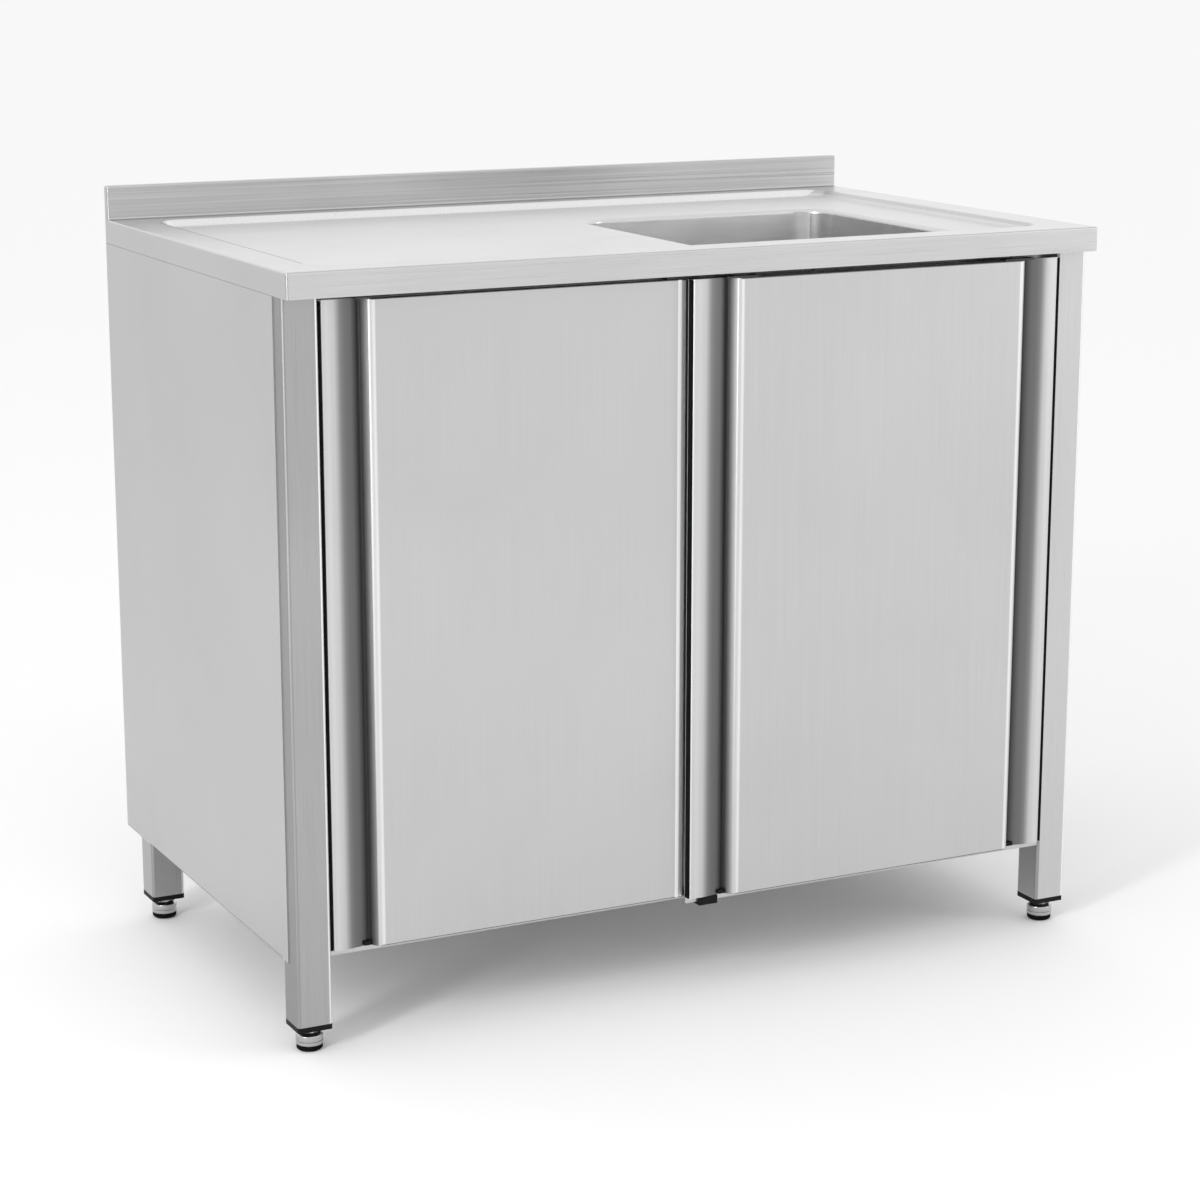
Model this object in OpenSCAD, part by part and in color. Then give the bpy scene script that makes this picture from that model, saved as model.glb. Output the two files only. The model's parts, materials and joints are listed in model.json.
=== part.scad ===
// Sink cabinet with a pressed worktop, one bowl and two sliding doors.
// X runs along the width, the front faces -Y, and Z is up from the floor.
// The origin is on the floor, below the middle of the worktop.

/* [Overall] */
// Width of the worktop
top_w = 1000; // [900:10:1400]
// Depth of the worktop
top_d = 600; // [560:10:700]
// Height of the worktop above the floor
top_h = 850; // [800:10:950]
// Height of the upstand above the worktop
upstand_h = 40; // [20:5:100]

/* [Sheet metal] */
// Thickness of the worktop, bowl, panel and shelf sheet
sheet = 1.2; // [1:0.1:1.5]
// Thickness of the door sheet
door_sheet = 1; // [0.8:0.1:1.2]
// Wall of the square and flat tubes
tube_wall = 1.5; // [1.2:0.1:2]

/* [Worktop] */
// Height of the turned down edge
edge_h = 28; // [26:1:40]
// Width of the flat rim in front of the recess
rim_w = 40; // [40:1:60]
// Width of the flat rim at each side of the recess
side_rim = 45; // [40:1:60]
// Depth of the recess below the rim
recess_depth = 8; // [5:1:12]
// Width of the sloping edge of the recess
recess_slope = 10; // [6:1:14]
// Corner radius of the recess
recess_r = 30; // [20:5:60]
// Thickness of the upstand, front to back
upstand_t = 12; // [8:1:20]
// Width of the flat rim in front of the upstand
upstand_rim = 28; // [20:1:60]
// Thickness of the board glued under the worktop
board_t = 18; // [12:1:20]

/* [Bowl] */
// Width of the bowl
bowl_w = 340; // [300:10:380]
// Length of the bowl, front to back
bowl_l = 350; // [340:10:420]
// Depth of the bowl below the recess
bowl_depth = 200; // [160:10:250]
// Corner radius of the bowl
bowl_r = 40; // [40:5:80]
// Radius between the walls and the floor of the bowl
bowl_floor_r = 20; // [12:1:30]
// Width of the welding flange round the bowl
bowl_flange = 8; // [5:1:9]
// Distance from the bowl to the right edge
bowl_from_right = 135; // [110:5:200]
// Distance from the bowl to the front edge
bowl_from_front = 56; // [56:1:66]

/* [Waste and overflow] */
// Diameter of the waste hole in the bowl
waste_hole_d = 90; // [86:1:96]
// Depth of the strainer dish below the floor of the bowl
dish_depth = 40; // [34:1:46]
// Diameter of the overflow hole
overflow_d = 24; // [18:1:28]
// Height of the overflow hole below the top of the bowl
overflow_drop = 40; // [36:1:50]
// Distance from the overflow hole to the front wall of the bowl
overflow_from_front = 96; // [80:1:200]
// Outer diameter of the overflow pipe
overflow_pipe_d = 20; // [16:1:22]
// Radius of the bend in the overflow pipe
pipe_bend = 35; // [28:1:36]
// Length of the overflow elbow below its hole
elbow_drop = 30; // [24:1:60]
// Outer diameter of the tail pipe
tail_d = 32; // [28:1:34]
// Length of the tail pipe that shows between the waste and the trap
tail_show = 40; // [20:5:80]
// Outer diameter of the outlet pipe
outlet_d = 40; // [36:1:42]
// Diameter of the bottle trap
trap_d = 70; // [62:1:90]
// Height of the bottle trap
trap_h = 120; // [100:5:150]
// Distance that the outlet pipe stops short of the rear edge
outlet_short = 15; // [5:1:30]
// Length of the outlet pipe that goes into the wall's socket
socket_l = 40; // [30:1:45]

/* [Legs and feet] */
// Side of the square legs
leg = 40; // [36:1:45]
// Corner radius of the legs
leg_r = 3; // [2:0.5:5]
// Height of the lower end of the legs
leg_end = 32; // [30:1:50]
// Distance from the rear legs to the rear edge
leg_rear_set = 50; // [30:1:80]
// Thickness of the cap under each leg
cap_t = 6; // [3:0.5:6]
// Length of the cap's plug in the leg
plug_h = 22; // [15:1:30]
// Diameter of the foot
foot_d = 30; // [26:1:34]
// Thickness of the pad under the foot
pad_t = 6; // [4:0.5:8]
// Diameter of the foot's thread
thread_d = 12; // [8:1:14]
// Travel of the foot
foot_travel = 25; // [10:1:30]

/* [Panels and shelf] */
// Height of the lower edge of the side and back panels
panel_bottom = 100; // [80:5:120]
// Length by which a side panel laps over the front leg
panel_lap = 17; // [8:1:25]
// Width of the folded flanges of the panels
flange = 14; // [10:1:20]
// Height of the top of the shelf
shelf_h = 142; // [136:1:180]
// Height of the folded edge of the shelf
shelf_edge = 34; // [30:1:40]
// Width of the channel below the shelf
beam_w = 50; // [30:5:80]
// Height of the channel below the shelf
beam_h = 22; // [15:1:28]
// Width of the service opening in the back panel
service_w = 200; // [120:10:260]
// Height of the service opening in the back panel
service_h = 120; // [80:10:160]
// Height of the rails under the worktop
rail_h = 36; // [25:1:45]
// Width of the side and rear rails
rail_w = 20; // [15:1:25]

/* [Doors] */
// Thickness of a door
door_t = 17; // [16:0.5:18]
// Overlap of the two doors in the middle
door_overlap = 56; // [44:1:80]
// Height of the lower edge of the doors
door_bottom = 110; // [106:1:120]
// Gap between the doors and the worktop edge
door_top_gap = 6; // [4:0.5:8]
// Gap between a door and the leg beside it
door_side_gap = 3; // [1:0.5:4]
// Gap between the two doors, front to back
door_air = 2.5; // [2:0.5:4]
// Distance from the front door to the front of the worktop
door_set = 2; // [1:0.5:4]
// Width of the lip outside each finger groove
lip_w = 22; // [14:1:26]
// Distance from the face of the door back to the lip
lip_set = 8; // [4:0.5:9]
// Width of the finger groove
groove_w = 33; // [20:1:36]
// Width of the groove's steep side, beside the face of the door
groove_side = 8; // [3:1:12]
// Depth of the finger groove
groove_depth = 13; // [10:0.5:13]

/* [Door gear] */
// Outer width of a track
track_w = 15; // [14:0.5:16]
// Width of the slot along a track
slot_w = 5.4; // [4.5:0.1:6]
// Diameter of the wheels
wheel_d = 18; // [14:0.5:19]
// Width of a wheel
wheel_w = 3.8; // [3:0.1:4]
// Diameter of the wheel axle
axle_d = 4; // [3:0.5:5]
// Thickness of the hanger's stem
stem_t = 2; // [1.5:0.1:2.5]
// Distance from a hanger to the end of the door
hanger_in = 60; // [50:1:120]
// Length of the hanger's base plate
hanger_l = 40; // [30:1:60]
// Width of the hanger's stem
stem_w = 16; // [12:1:24]
// Length of the guide block below the doors
guide_l = 24; // [20:1:40]
// Depth of the tongue below the doors
tongue_h = 7; // [5:0.5:9]

/* [Hidden] */
$fn = 48;

// Small clearances and the overshoot of a cut
slack = 0.3;
running = 0.05;
cut = 1;

// Edges of the worktop
front = -top_d / 2;
rear = top_d / 2;
side = top_w / 2;
edge_z = top_h - edge_h;
under_z = top_h - sheet;
recess_z = top_h - recess_depth;
recess_under_z = recess_z - sheet;
rail_top = recess_under_z - board_t;
rail_bottom = rail_top - rail_h;

// Doors from the front, and the legs behind the front door
front_door_y = front + door_set;
rear_door_y = front_door_y + door_t + door_air;
leg_front_y = front_door_y + door_t + 1;
leg_rear_y = rear - leg_rear_set;
leg_x = side - sheet;
opening_x = leg_x - leg;
door_w = (2 * (opening_x - door_side_gap) + door_overlap) / 2;
door_travel = 2 * (opening_x - door_side_gap) - door_w;
door_top = edge_z - door_top_gap;
front_door_x = opening_x - door_side_gap - door_w;
rear_door_x = -opening_x + door_side_gap;
back_t = door_sheet;

// Rims of the worktop, the front one wide enough for the tracks, the side ones for the legs
rim = max(rim_w, rear_door_y - front + (door_t + track_w) / 2 + 2);
side_edge = max(side_rim, leg + 2 * sheet + slack);
rear_rim = upstand_t + upstand_rim;

// Rails and the shelf behind the doors
rear_door_back_y = rear_door_y + door_t;
rail_front_y = rear_door_back_y + 2.5;
rail_depth = 9;
shelf_front_y = rear_door_back_y + 4.5;

// Door gear
track_bottom = edge_z + 2;
track_wall = sheet;
wheel_gap = 0.5;
wheel_lift = 0.3;
axle_z = track_bottom + track_wall + wheel_lift + wheel_d / 2;
plate_t = 2;
stem_top = axle_z + axle_d / 2 + 2.5;
buffer_l = 12;
buffer_x = opening_x - door_side_gap - hanger_in + wheel_d / 2 + slack;

// Guide block under the doors
guide_gap = 0.7;
tongue_t = 2;
guide_top = door_bottom - 1;
guide_floor = 3;
guide_bottom = guide_top - tongue_h - guide_floor;
guide_plate_t = 3;

// Bowl
bowl_x = side - bowl_from_right - bowl_w / 2;
bowl_front = max(front + max(bowl_from_front, rim + recess_slope + 6),
    rail_front_y + rail_depth + sheet + 3);
bowl_y = bowl_front + bowl_l / 2;
bowl_floor = recess_z - bowl_depth;
overflow_z = recess_z - overflow_drop;
overflow_y = bowl_front + overflow_from_front;
wall_x = bowl_x + bowl_w / 2;

// Waste fittings, stacked down from the floor of the bowl
dish_flange = 12;
dish_t = 1.5;
dish_r = waste_hole_d / 2 - 0.5;
dish_floor = bowl_floor - dish_depth;
gasket_t = 2;
gasket_z = bowl_floor - sheet - gasket_t;
body_rim_t = 4;
body_r = waste_hole_d / 2 + 5;
body_wall = 3;
body_floor = dish_floor - dish_t - 8;
spigot_h = 26;
tail_r = tail_d / 2;
spigot_in = tail_r + running;
spigot_r = spigot_in + 3.5;
spigot_end = body_floor - body_wall - spigot_h;
tail_in = 18;
trap_top = spigot_end - tail_show;
trap_r = trap_d / 2;
neck_h = 20;
neck_r = tail_r + 5;
trap_shoulder = trap_top - neck_h;
outlet_r = outlet_d / 2;
outlet_z = trap_shoulder - outlet_r - 8;
cup_h = 40;
cup_z = trap_shoulder - trap_h;
pipe_wall = 1.8;
outlet_end_y = rear - outlet_short;

// Overflow pipe, in the plane from the waste body to the elbow
elbow_x = wall_x + sheet + 3 + overflow_pipe_d / 2 + 3;
pipe_run = norm([elbow_x - bowl_x, overflow_y - bowl_y]);
pipe_angle = atan2(overflow_y - bowl_y, elbow_x - bowl_x);
inlet_in = 10;
inlet_out = 16;
inlet_wall = 3;
elbow_socket = 15;
inlet_z = body_floor + overflow_pipe_d / 2 + 2 * inlet_wall;
elbow_bottom = overflow_z - elbow_drop;

// Corner signs of the four legs: front left, front right, rear left, rear right
function leg_side(x_sign) = x_sign * (leg_x - leg / 2);
function leg_mid_y(y_sign) = y_sign < 0 ? leg_front_y + leg / 2 : leg_rear_y - leg / 2;

// Outline of a folded sheet: the points of its outer face, then the same face moved in by t
function unit(v) = v / norm(v);
function left_of(v) = [-v[1], v[0]];
function fold_side(p, i) = left_of(unit(p[i + 1] - p[i]));
function fold_shift(p, i) =
    i == 0 ? fold_side(p, 0)
    : i == len(p) - 1 ? fold_side(p, i - 1)
    : let (a = fold_side(p, i - 1), b = fold_side(p, i)) (a + b) / (1 + a * b);
function folded(p, t) = concat(p, [for (i = [len(p) - 1:-1:0]) p[i] + t * fold_shift(p, i)]);

// Box between two opposite corners
module span(low, high) {
    translate(low) cube(high - low);
}

// Rectangle with round corners, about the origin
module round_rect(w, d, r) {
    square([w - 2 * r, d], center = true);
    square([w, d - 2 * r], center = true);
    for (x = [-1, 1], y = [-1, 1])
        translate([x * (w / 2 - r), y * (d / 2 - r)]) circle(r = r);
}

// Upright ring between two heights
module ring(r_out, r_in, low, high) {
    translate([0, 0, low]) difference() {
        cylinder(r = r_out, h = high - low);
        translate([0, 0, -cut]) cylinder(r = r_in, h = high - low + 2 * cut);
    }
}

// Flat tube between two corners, open at both ends of the X or the Y axis
module flat_tube(low, high, along) {
    inset = [for (i = [0:2]) i == along ? -cut : tube_wall];
    difference() {
        span(low, high);
        span(low + inset, high - inset);
    }
}

// Outline of the recess, larger by grow on every side
module recess_outline(grow) {
    translate([0, (rim - rear_rim) / 2])
        round_rect(top_w - 2 * side_edge + 2 * grow, top_d - rim - rear_rim + 2 * grow,
            recess_r + grow);
}

// Sloping form of the recess, between its rim at high and its floor at low
module recess_form(grow, low, high) {
    rise = high - top_h;
    hull() {
        translate([0, 0, high - 0.01]) linear_extrude(0.01)
            recess_outline(grow + rise * recess_slope / recess_depth, $fn = 32);
        translate([0, 0, low]) linear_extrude(0.01) recess_outline(grow - recess_slope, $fn = 32);
    }
}

module worktop() {
    color("gainsboro") difference() {
        union() {
            difference() {
                span([-side, front, edge_z], [side, rear, top_h]);
                span([-side + sheet, front + sheet, edge_z - cut],
                    [side - sheet, rear - sheet, under_z]);
            }
            recess_form(sheet, recess_under_z, top_h);
            span([-side, rear - upstand_t, under_z], [side, rear, top_h + upstand_h]);
        }
        recess_form(0, recess_z, top_h + 0.5);
        span([-side + sheet, rear - upstand_t + sheet, under_z - cut],
            [side - sheet, rear - sheet, top_h + upstand_h - sheet]);
        translate([bowl_x, bowl_y, recess_under_z - cut]) linear_extrude(recess_depth + 2 * cut)
            round_rect(bowl_w, bowl_l, bowl_r);
    }
}

// Rectangle between the side panels, with corners cut for the legs
module notched(y_low, y_high, gap) {
    translate([-opening_x + gap, y_low]) square([2 * (opening_x - gap), y_high - y_low]);
    translate([-leg_x + gap, leg_front_y + leg + gap])
        square([2 * (leg_x - gap), leg_rear_y - leg_front_y - 2 * leg - 2 * gap]);
}

module underlay_board() {
    hole_w = bowl_w + 2 * (sheet + bowl_flange + 2);
    hole_l = bowl_l + 2 * (sheet + bowl_flange + 2);
    color("dimgray") translate([0, 0, rail_top]) linear_extrude(board_t) difference() {
        notched(rail_front_y, leg_rear_y - 1, 1);
        translate([bowl_x, bowl_y]) round_rect(hole_w, hole_l, bowl_r);
        translate([bowl_x - hole_w / 2, front]) square([hole_w, bowl_y - front]);
    }
}

// Body of the bowl, larger by grow, with a rounded lower edge
module bowl_form(grow, floor_z, top_z) {
    translate([0, 0, floor_z + bowl_floor_r]) linear_extrude(top_z - floor_z - bowl_floor_r)
        round_rect(bowl_w + 2 * grow, bowl_l + 2 * grow, bowl_r + grow);
    hull() for (a = [0:22.5:90]) {
        inset = bowl_floor_r * (1 - cos(a));
        translate([0, 0, floor_z + bowl_floor_r * (1 - sin(a))]) linear_extrude(0.01)
            round_rect(bowl_w + 2 * (grow - inset), bowl_l + 2 * (grow - inset),
                bowl_r + grow - inset, $fn = 32);
    }
}

module sink_bowl() {
    brim = 2 * (sheet + bowl_flange);
    color("lightgray") translate([bowl_x, bowl_y, 0]) difference() {
        union() {
            bowl_form(sheet, bowl_floor - sheet, recess_under_z);
            translate([0, 0, recess_under_z - sheet]) linear_extrude(sheet)
                round_rect(bowl_w + brim, bowl_l + brim, bowl_r + sheet + bowl_flange);
        }
        bowl_form(0, bowl_floor, recess_under_z + cut);
        translate([0, 0, bowl_floor - 2 * sheet]) cylinder(d = waste_hole_d, h = 3 * sheet);
        translate([bowl_w / 2 - cut, overflow_y - bowl_y, overflow_z]) rotate([0, 90, 0])
            cylinder(d = overflow_d, h = sheet + 2 * cut);
    }
}

module overflow_cover() {
    cover_t = 2;
    color("silver") translate([wall_x - cover_t, overflow_y, overflow_z]) rotate([0, 90, 0])
        difference() {
            cylinder(d = overflow_d + 10, h = cover_t);
            for (a = [0:60:300])
                rotate([0, 0, a]) translate([overflow_d / 3.4, 0, -cut])
                    cylinder(r = overflow_d / 9, h = cover_t + 2 * cut);
        }
}

module overflow_elbow() {
    elbow_r = overflow_pipe_d / 2 + 3;
    color("whitesmoke") difference() {
        union() {
            translate([wall_x + sheet, overflow_y, overflow_z]) rotate([0, 90, 0])
                cylinder(d = overflow_d + 8, h = 3);
            translate([wall_x + sheet, overflow_y, overflow_z]) rotate([0, 90, 0])
                cylinder(r = elbow_r, h = elbow_x - wall_x - sheet);
            translate([elbow_x, overflow_y, overflow_z]) sphere(r = elbow_r);
            translate([elbow_x, overflow_y, elbow_bottom])
                cylinder(r = elbow_r, h = overflow_z - elbow_bottom);
        }
        translate([wall_x, overflow_y, overflow_z]) rotate([0, 90, 0])
            cylinder(r = elbow_r - 4, h = elbow_x - wall_x);
        translate([elbow_x, overflow_y, elbow_bottom - cut])
            cylinder(r = elbow_r - 4, h = overflow_z - elbow_bottom + cut);
        translate([elbow_x, overflow_y, elbow_bottom - cut])
            cylinder(r = overflow_pipe_d / 2 + running, h = elbow_socket + cut);
    }
}

// Overflow pipe of radius r, in the plane from the waste body to the elbow
module overflow_route(r, over) {
    run_end = pipe_run - pipe_bend;
    translate([body_r - body_wall - over, 0, inlet_z]) rotate([0, 90, 0])
        cylinder(r = r, h = run_end - body_r + body_wall + over);
    translate([run_end, 0, inlet_z + pipe_bend]) rotate([90, 0, 0]) rotate([0, 0, -90])
        rotate_extrude(angle = 90) translate([pipe_bend, 0]) circle(r = r);
    translate([pipe_run, 0, inlet_z + pipe_bend])
        cylinder(r = r, h = elbow_bottom + elbow_socket - 1 - inlet_z - pipe_bend + over);
}

module overflow_pipe() {
    color("whitesmoke") translate([bowl_x, bowl_y, 0]) rotate([0, 0, pipe_angle]) difference() {
        overflow_route(overflow_pipe_d / 2, 0);
        overflow_route(overflow_pipe_d / 2 - pipe_wall, cut);
    }
}

module strainer_dish() {
    flange_r = dish_r + dish_flange;
    color("silver") translate([bowl_x, bowl_y, 0]) difference() {
        rotate_extrude() polygon([[0, dish_floor - dish_t], [dish_r - 6, dish_floor - dish_t],
            [dish_r, dish_floor + 5], [dish_r, bowl_floor], [flange_r, bowl_floor],
            [flange_r - 1, bowl_floor + dish_t], [dish_r - dish_t, bowl_floor + dish_t],
            [dish_r - dish_t, dish_floor + 5], [dish_r - dish_t - 5.5, dish_floor],
            [0, dish_floor]]);
        translate([0, 0, dish_floor - dish_t - cut]) cylinder(r = 3.2, h = dish_t + 2 * cut);
        for (a = [0:30:330])
            rotate([0, 0, a]) translate([dish_r - 13, 0, dish_floor - dish_t - cut])
                cylinder(r = 4, h = dish_t + 2 * cut);
    }
}

// Basket that stands on its seal in the dish
seal_t = 2.6;
basket_floor = dish_floor + seal_t + 0.2;
basket_r = dish_r - dish_t - 8;
module basket_strainer() {
    basket_top = bowl_floor - 1;
    color("silver") translate([bowl_x, bowl_y, 0]) difference() {
        rotate_extrude() polygon([[0, basket_floor], [basket_r - 2, basket_floor],
            [basket_r, basket_floor + 3], [basket_r, basket_top - 1],
            [basket_r + 6, basket_top - 1], [basket_r + 6, basket_top],
            [basket_r - 1, basket_top], [basket_r - 1, basket_floor + 3.4],
            [basket_r - 2.4, basket_floor + 1], [4, basket_floor + 1],
            [3, basket_top + 2], [7, basket_top + 4], [8, basket_top + 8],
            [6, basket_top + 11], [0, basket_top + 11]]);
        for (a = [0:30:330])
            rotate([0, 0, a]) translate([basket_r - 9, 0, basket_floor - cut])
                cylinder(r = 3, h = 1 + 2 * cut);
    }
}

module strainer_seal() {
    color("dimgray") translate([bowl_x, bowl_y, 0])
        ring(basket_r - 16, 8, basket_floor - seal_t, basket_floor);
}

module waste_gasket() {
    color("black") translate([bowl_x, bowl_y, 0])
        ring(dish_r + dish_flange, waste_hole_d / 2 + 1, gasket_z, bowl_floor - sheet);
}

module waste_body() {
    spigot_top = body_floor - body_wall;
    color("whitesmoke") translate([bowl_x, bowl_y, 0]) difference() {
        union() {
            translate([0, 0, gasket_z - body_rim_t])
                cylinder(r = dish_r + dish_flange, h = body_rim_t);
            translate([0, 0, spigot_top]) cylinder(r = body_r, h = gasket_z - spigot_top);
            translate([0, 0, spigot_end]) cylinder(r = spigot_r, h = spigot_h + 1);
            rotate([0, 0, pipe_angle]) translate([body_r - inlet_in, 0, inlet_z]) rotate([0, 90, 0])
                cylinder(r = overflow_pipe_d / 2 + inlet_wall, h = inlet_in + inlet_out);
        }
        translate([0, 0, body_floor])
            cylinder(r = body_r - body_wall, h = gasket_z - body_floor + cut);
        translate([0, 0, spigot_end - cut]) cylinder(r = spigot_in, h = spigot_h - 3 + cut);
        translate([0, 0, spigot_end - cut]) cylinder(r = 2.6, h = spigot_h + body_wall + 2 * cut);
        for (a = [0:60:300])
            rotate([0, 0, a]) translate([spigot_in * 0.62, 0, spigot_end])
                cylinder(r = spigot_in * 0.22, h = spigot_h + body_wall + cut);
        rotate([0, 0, pipe_angle]) translate([body_r - body_wall - 1, 0, inlet_z])
            rotate([0, 90, 0]) cylinder(r = overflow_pipe_d / 2 + running, h = body_wall + 2 * inlet_out);
    }
}

module waste_screw() {
    color("silver") translate([bowl_x, bowl_y, 0]) {
        translate([0, 0, dish_floor]) cylinder(r = 6, h = 2);
        translate([0, 0, body_floor - body_wall])
            cylinder(r = 2.5, h = dish_floor - body_floor + body_wall);
    }
}

module tail_pipe() {
    color("whitesmoke") translate([bowl_x, bowl_y, 0])
        ring(tail_r, tail_r - pipe_wall, cup_z + 14, spigot_end + tail_in);
}

module trap_nuts() {
    color("white") translate([bowl_x, bowl_y, 0]) {
        ring(spigot_r + 4, spigot_r + running, spigot_end - 2, spigot_end + 16);
        ring(neck_r + 4, neck_r + running, trap_top - 12, trap_top + 2);
        translate([0, trap_r + 10, outlet_z]) rotate([-90, 0, 0])
            ring(outlet_r + 8, outlet_r + 4 + running, 0, 14);
    }
}

module trap_body() {
    color("whitesmoke") translate([bowl_x, bowl_y, 0]) difference() {
        union() {
            translate([0, 0, cup_z + cup_h]) cylinder(r = trap_r, h = trap_h - cup_h);
            translate([0, 0, trap_shoulder - 1]) cylinder(r = neck_r, h = neck_h + 1);
            translate([0, 0, outlet_z]) rotate([-90, 0, 0])
                cylinder(r = outlet_r + 4, h = trap_r + 24);
        }
        translate([0, 0, cup_z + cup_h - cut])
            cylinder(r = trap_r - 3, h = trap_h - cup_h - 3 + cut);
        translate([0, 0, trap_shoulder - 10]) cylinder(r = tail_r + running, h = neck_h + 20);
        translate([0, trap_r + 2, outlet_z]) rotate([-90, 0, 0])
            cylinder(r = outlet_r + running, h = 24);
        translate([0, 0, outlet_z]) rotate([-90, 0, 0])
            cylinder(r = outlet_r - pipe_wall, h = trap_r + 10);
    }
}

module trap_cup() {
    color("white") translate([bowl_x, bowl_y, 0]) difference() {
        union() {
            translate([0, 0, cup_z]) cylinder(r = trap_r - 4, h = 8);
            translate([0, 0, cup_z + 6]) cylinder(r = trap_r, h = cup_h - 6);
        }
        translate([0, 0, cup_z + 4]) cylinder(r = trap_r - 7, h = cup_h);
    }
}

module outlet_pipe() {
    start_y = bowl_y + trap_r + 4;
    length = outlet_end_y - start_y;
    color("whitesmoke") translate([bowl_x, start_y, outlet_z]) rotate([-90, 0, 0]) {
        ring(outlet_r, outlet_r - pipe_wall, 0, length);
        ring(outlet_r + 2, outlet_r - running, length - socket_l - 3, length - socket_l);
    }
}

// Square leg, with screw holes in its rear face where the back panel is fixed
module square_leg(x_sign, y_sign) {
    color("silver") translate([leg_side(x_sign), leg_mid_y(y_sign), leg_end]) difference() {
        linear_extrude(under_z - leg_end) difference() {
            round_rect(leg, leg, leg_r);
            square(leg - 2 * tube_wall, center = true);
        }
        if (y_sign > 0)
            for (z = screw_heights)
                translate([0, leg / 2 - 2 * tube_wall, z - leg_end]) rotate([-90, 0, 0])
                    cylinder(r = screw_r + running, h = 3 * tube_wall);
    }
}
screw_r = 2;
screw_low = panel_bottom + 60;
screw_high = rail_bottom - 30;
screw_heights = [for (i = [0:3]) screw_low + (screw_high - screw_low) * i / 3];

module leg_cap(x_sign, y_sign) {
    plug = leg - 2 * tube_wall - 0.2;
    color("black") translate([leg_side(x_sign), leg_mid_y(y_sign), leg_end - cap_t]) difference() {
        union() {
            linear_extrude(cap_t) round_rect(leg, leg, leg_r);
            linear_extrude(cap_t + plug_h) square(plug, center = true);
        }
        translate([0, 0, -cut])
            cylinder(r = thread_d / 2 + running, h = cap_t + plug_h + 2 * cut);
    }
}

module foot(x_sign, y_sign) {
    top_z = leg_end - cap_t - slack;
    r = foot_d / 2;
    stem_r = thread_d / 2;
    stem_z = leg_end + foot_travel + 8;
    color("silver") translate([leg_side(x_sign), leg_mid_y(y_sign), 0]) rotate_extrude()
        polygon([[0, pad_t], [r - 1.5, pad_t], [r, pad_t + 1.5], [r, top_z - 8], [r - 3, top_z - 5],
            [r - 5, top_z - 4], [r - 5, top_z], [stem_r, top_z], [stem_r, stem_z - 1],
            [stem_r - 1, stem_z], [0, stem_z]]);
}

module pad(x_sign, y_sign) {
    r = foot_d / 2;
    color("black") translate([leg_side(x_sign), leg_mid_y(y_sign), 0]) rotate_extrude()
        polygon([[0, 0], [r - 3, 0], [r - 0.5, 2], [r - 0.5, pad_t], [0, pad_t]]);
}

// Left side panel: one folded sheet that laps over the front leg
module side_panel() {
    lap_y = leg_front_y + leg - panel_lap;
    panel_top = edge_z - slack;
    color("lightgray") difference() {
        union() {
            span([-side, lap_y, panel_bottom], [-side + sheet, rear, panel_top]);
            span([-side, rear - sheet, panel_bottom], [-side + flange, rear, panel_top]);
            span([-side, leg_front_y + leg + slack, panel_bottom],
                [-side + flange, rear, panel_bottom + sheet]);
        }
        span([-leg_x, leg_rear_y - leg - slack, panel_bottom - cut],
            [-side + flange + cut, leg_rear_y + sheet + slack, panel_bottom + 2 * sheet]);
    }
}

module back_panel() {
    x = leg_x - slack;
    panel_top = edge_z - slack;
    color("lightgray") difference() {
        union() {
            span([-x, leg_rear_y, panel_bottom], [x, leg_rear_y + sheet, panel_top]);
            span([-x + flange, leg_rear_y, panel_bottom],
                [x - flange, leg_rear_y + flange, panel_bottom + sheet]);
            span([-x + flange, leg_rear_y, panel_top - sheet],
                [x - flange, leg_rear_y + flange, panel_top]);
        }
        span([bowl_x - service_w / 2, leg_rear_y - cut, outlet_z - service_h / 2],
            [bowl_x + service_w / 2, leg_rear_y + sheet + cut, outlet_z + service_h / 2]);
        for (x_sign = [-1, 1], z = screw_heights)
            translate([leg_side(x_sign), leg_rear_y - cut, z]) rotate([-90, 0, 0])
                cylinder(r = screw_r + running, h = sheet + 2 * cut);
    }
}

module back_panel_screws() {
    color("silver") for (x_sign = [-1, 1], z = screw_heights)
        translate([leg_side(x_sign), leg_rear_y, z]) rotate([-90, 0, 0]) {
            translate([0, 0, -10]) cylinder(r = screw_r, h = 10 + sheet);
            translate([0, 0, sheet]) cylinder(r = 2 * screw_r, h = 2.4);
        }
}

module base_shelf() {
    low = shelf_h - shelf_edge;
    color("lightgray") {
        translate([0, 0, shelf_h - sheet]) linear_extrude(sheet)
            notched(shelf_front_y, leg_rear_y - slack, slack);
        span([-opening_x + slack, shelf_front_y, low],
            [opening_x - slack, shelf_front_y + sheet, shelf_h]);
        span([-opening_x + slack, leg_rear_y - slack - sheet, low],
            [opening_x - slack, leg_rear_y - slack, shelf_h]);
        for (x_sign = [0, 1])
            mirror([x_sign, 0, 0])
                span([leg_x - slack - sheet, leg_front_y + leg + slack, low],
                    [leg_x - slack, leg_rear_y - leg - slack, shelf_h]);
    }
}

// Folded channel welded under the middle of the shelf
module shelf_beam() {
    mid_y = (shelf_front_y + leg_rear_y) / 2;
    x = leg_x - 2 * (slack + sheet);
    p = [[-beam_w / 2, 0], [-beam_w / 2, -beam_h], [beam_w / 2, -beam_h], [beam_w / 2, 0]];
    color("lightgray") translate([-x, mid_y, shelf_h - sheet]) rotate([90, 0, 90])
        linear_extrude(2 * x) polygon(folded(p, sheet));
}

// Channel open to the rear, so that it clears the bowl
module front_rail() {
    p = [[rail_depth, 0], [0, 0], [0, -rail_h], [rail_depth, -rail_h]];
    color("silver") translate([-opening_x, rail_front_y, rail_top]) rotate([90, 0, 90])
        linear_extrude(2 * opening_x) polygon(folded(p, tube_wall));
}

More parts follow.
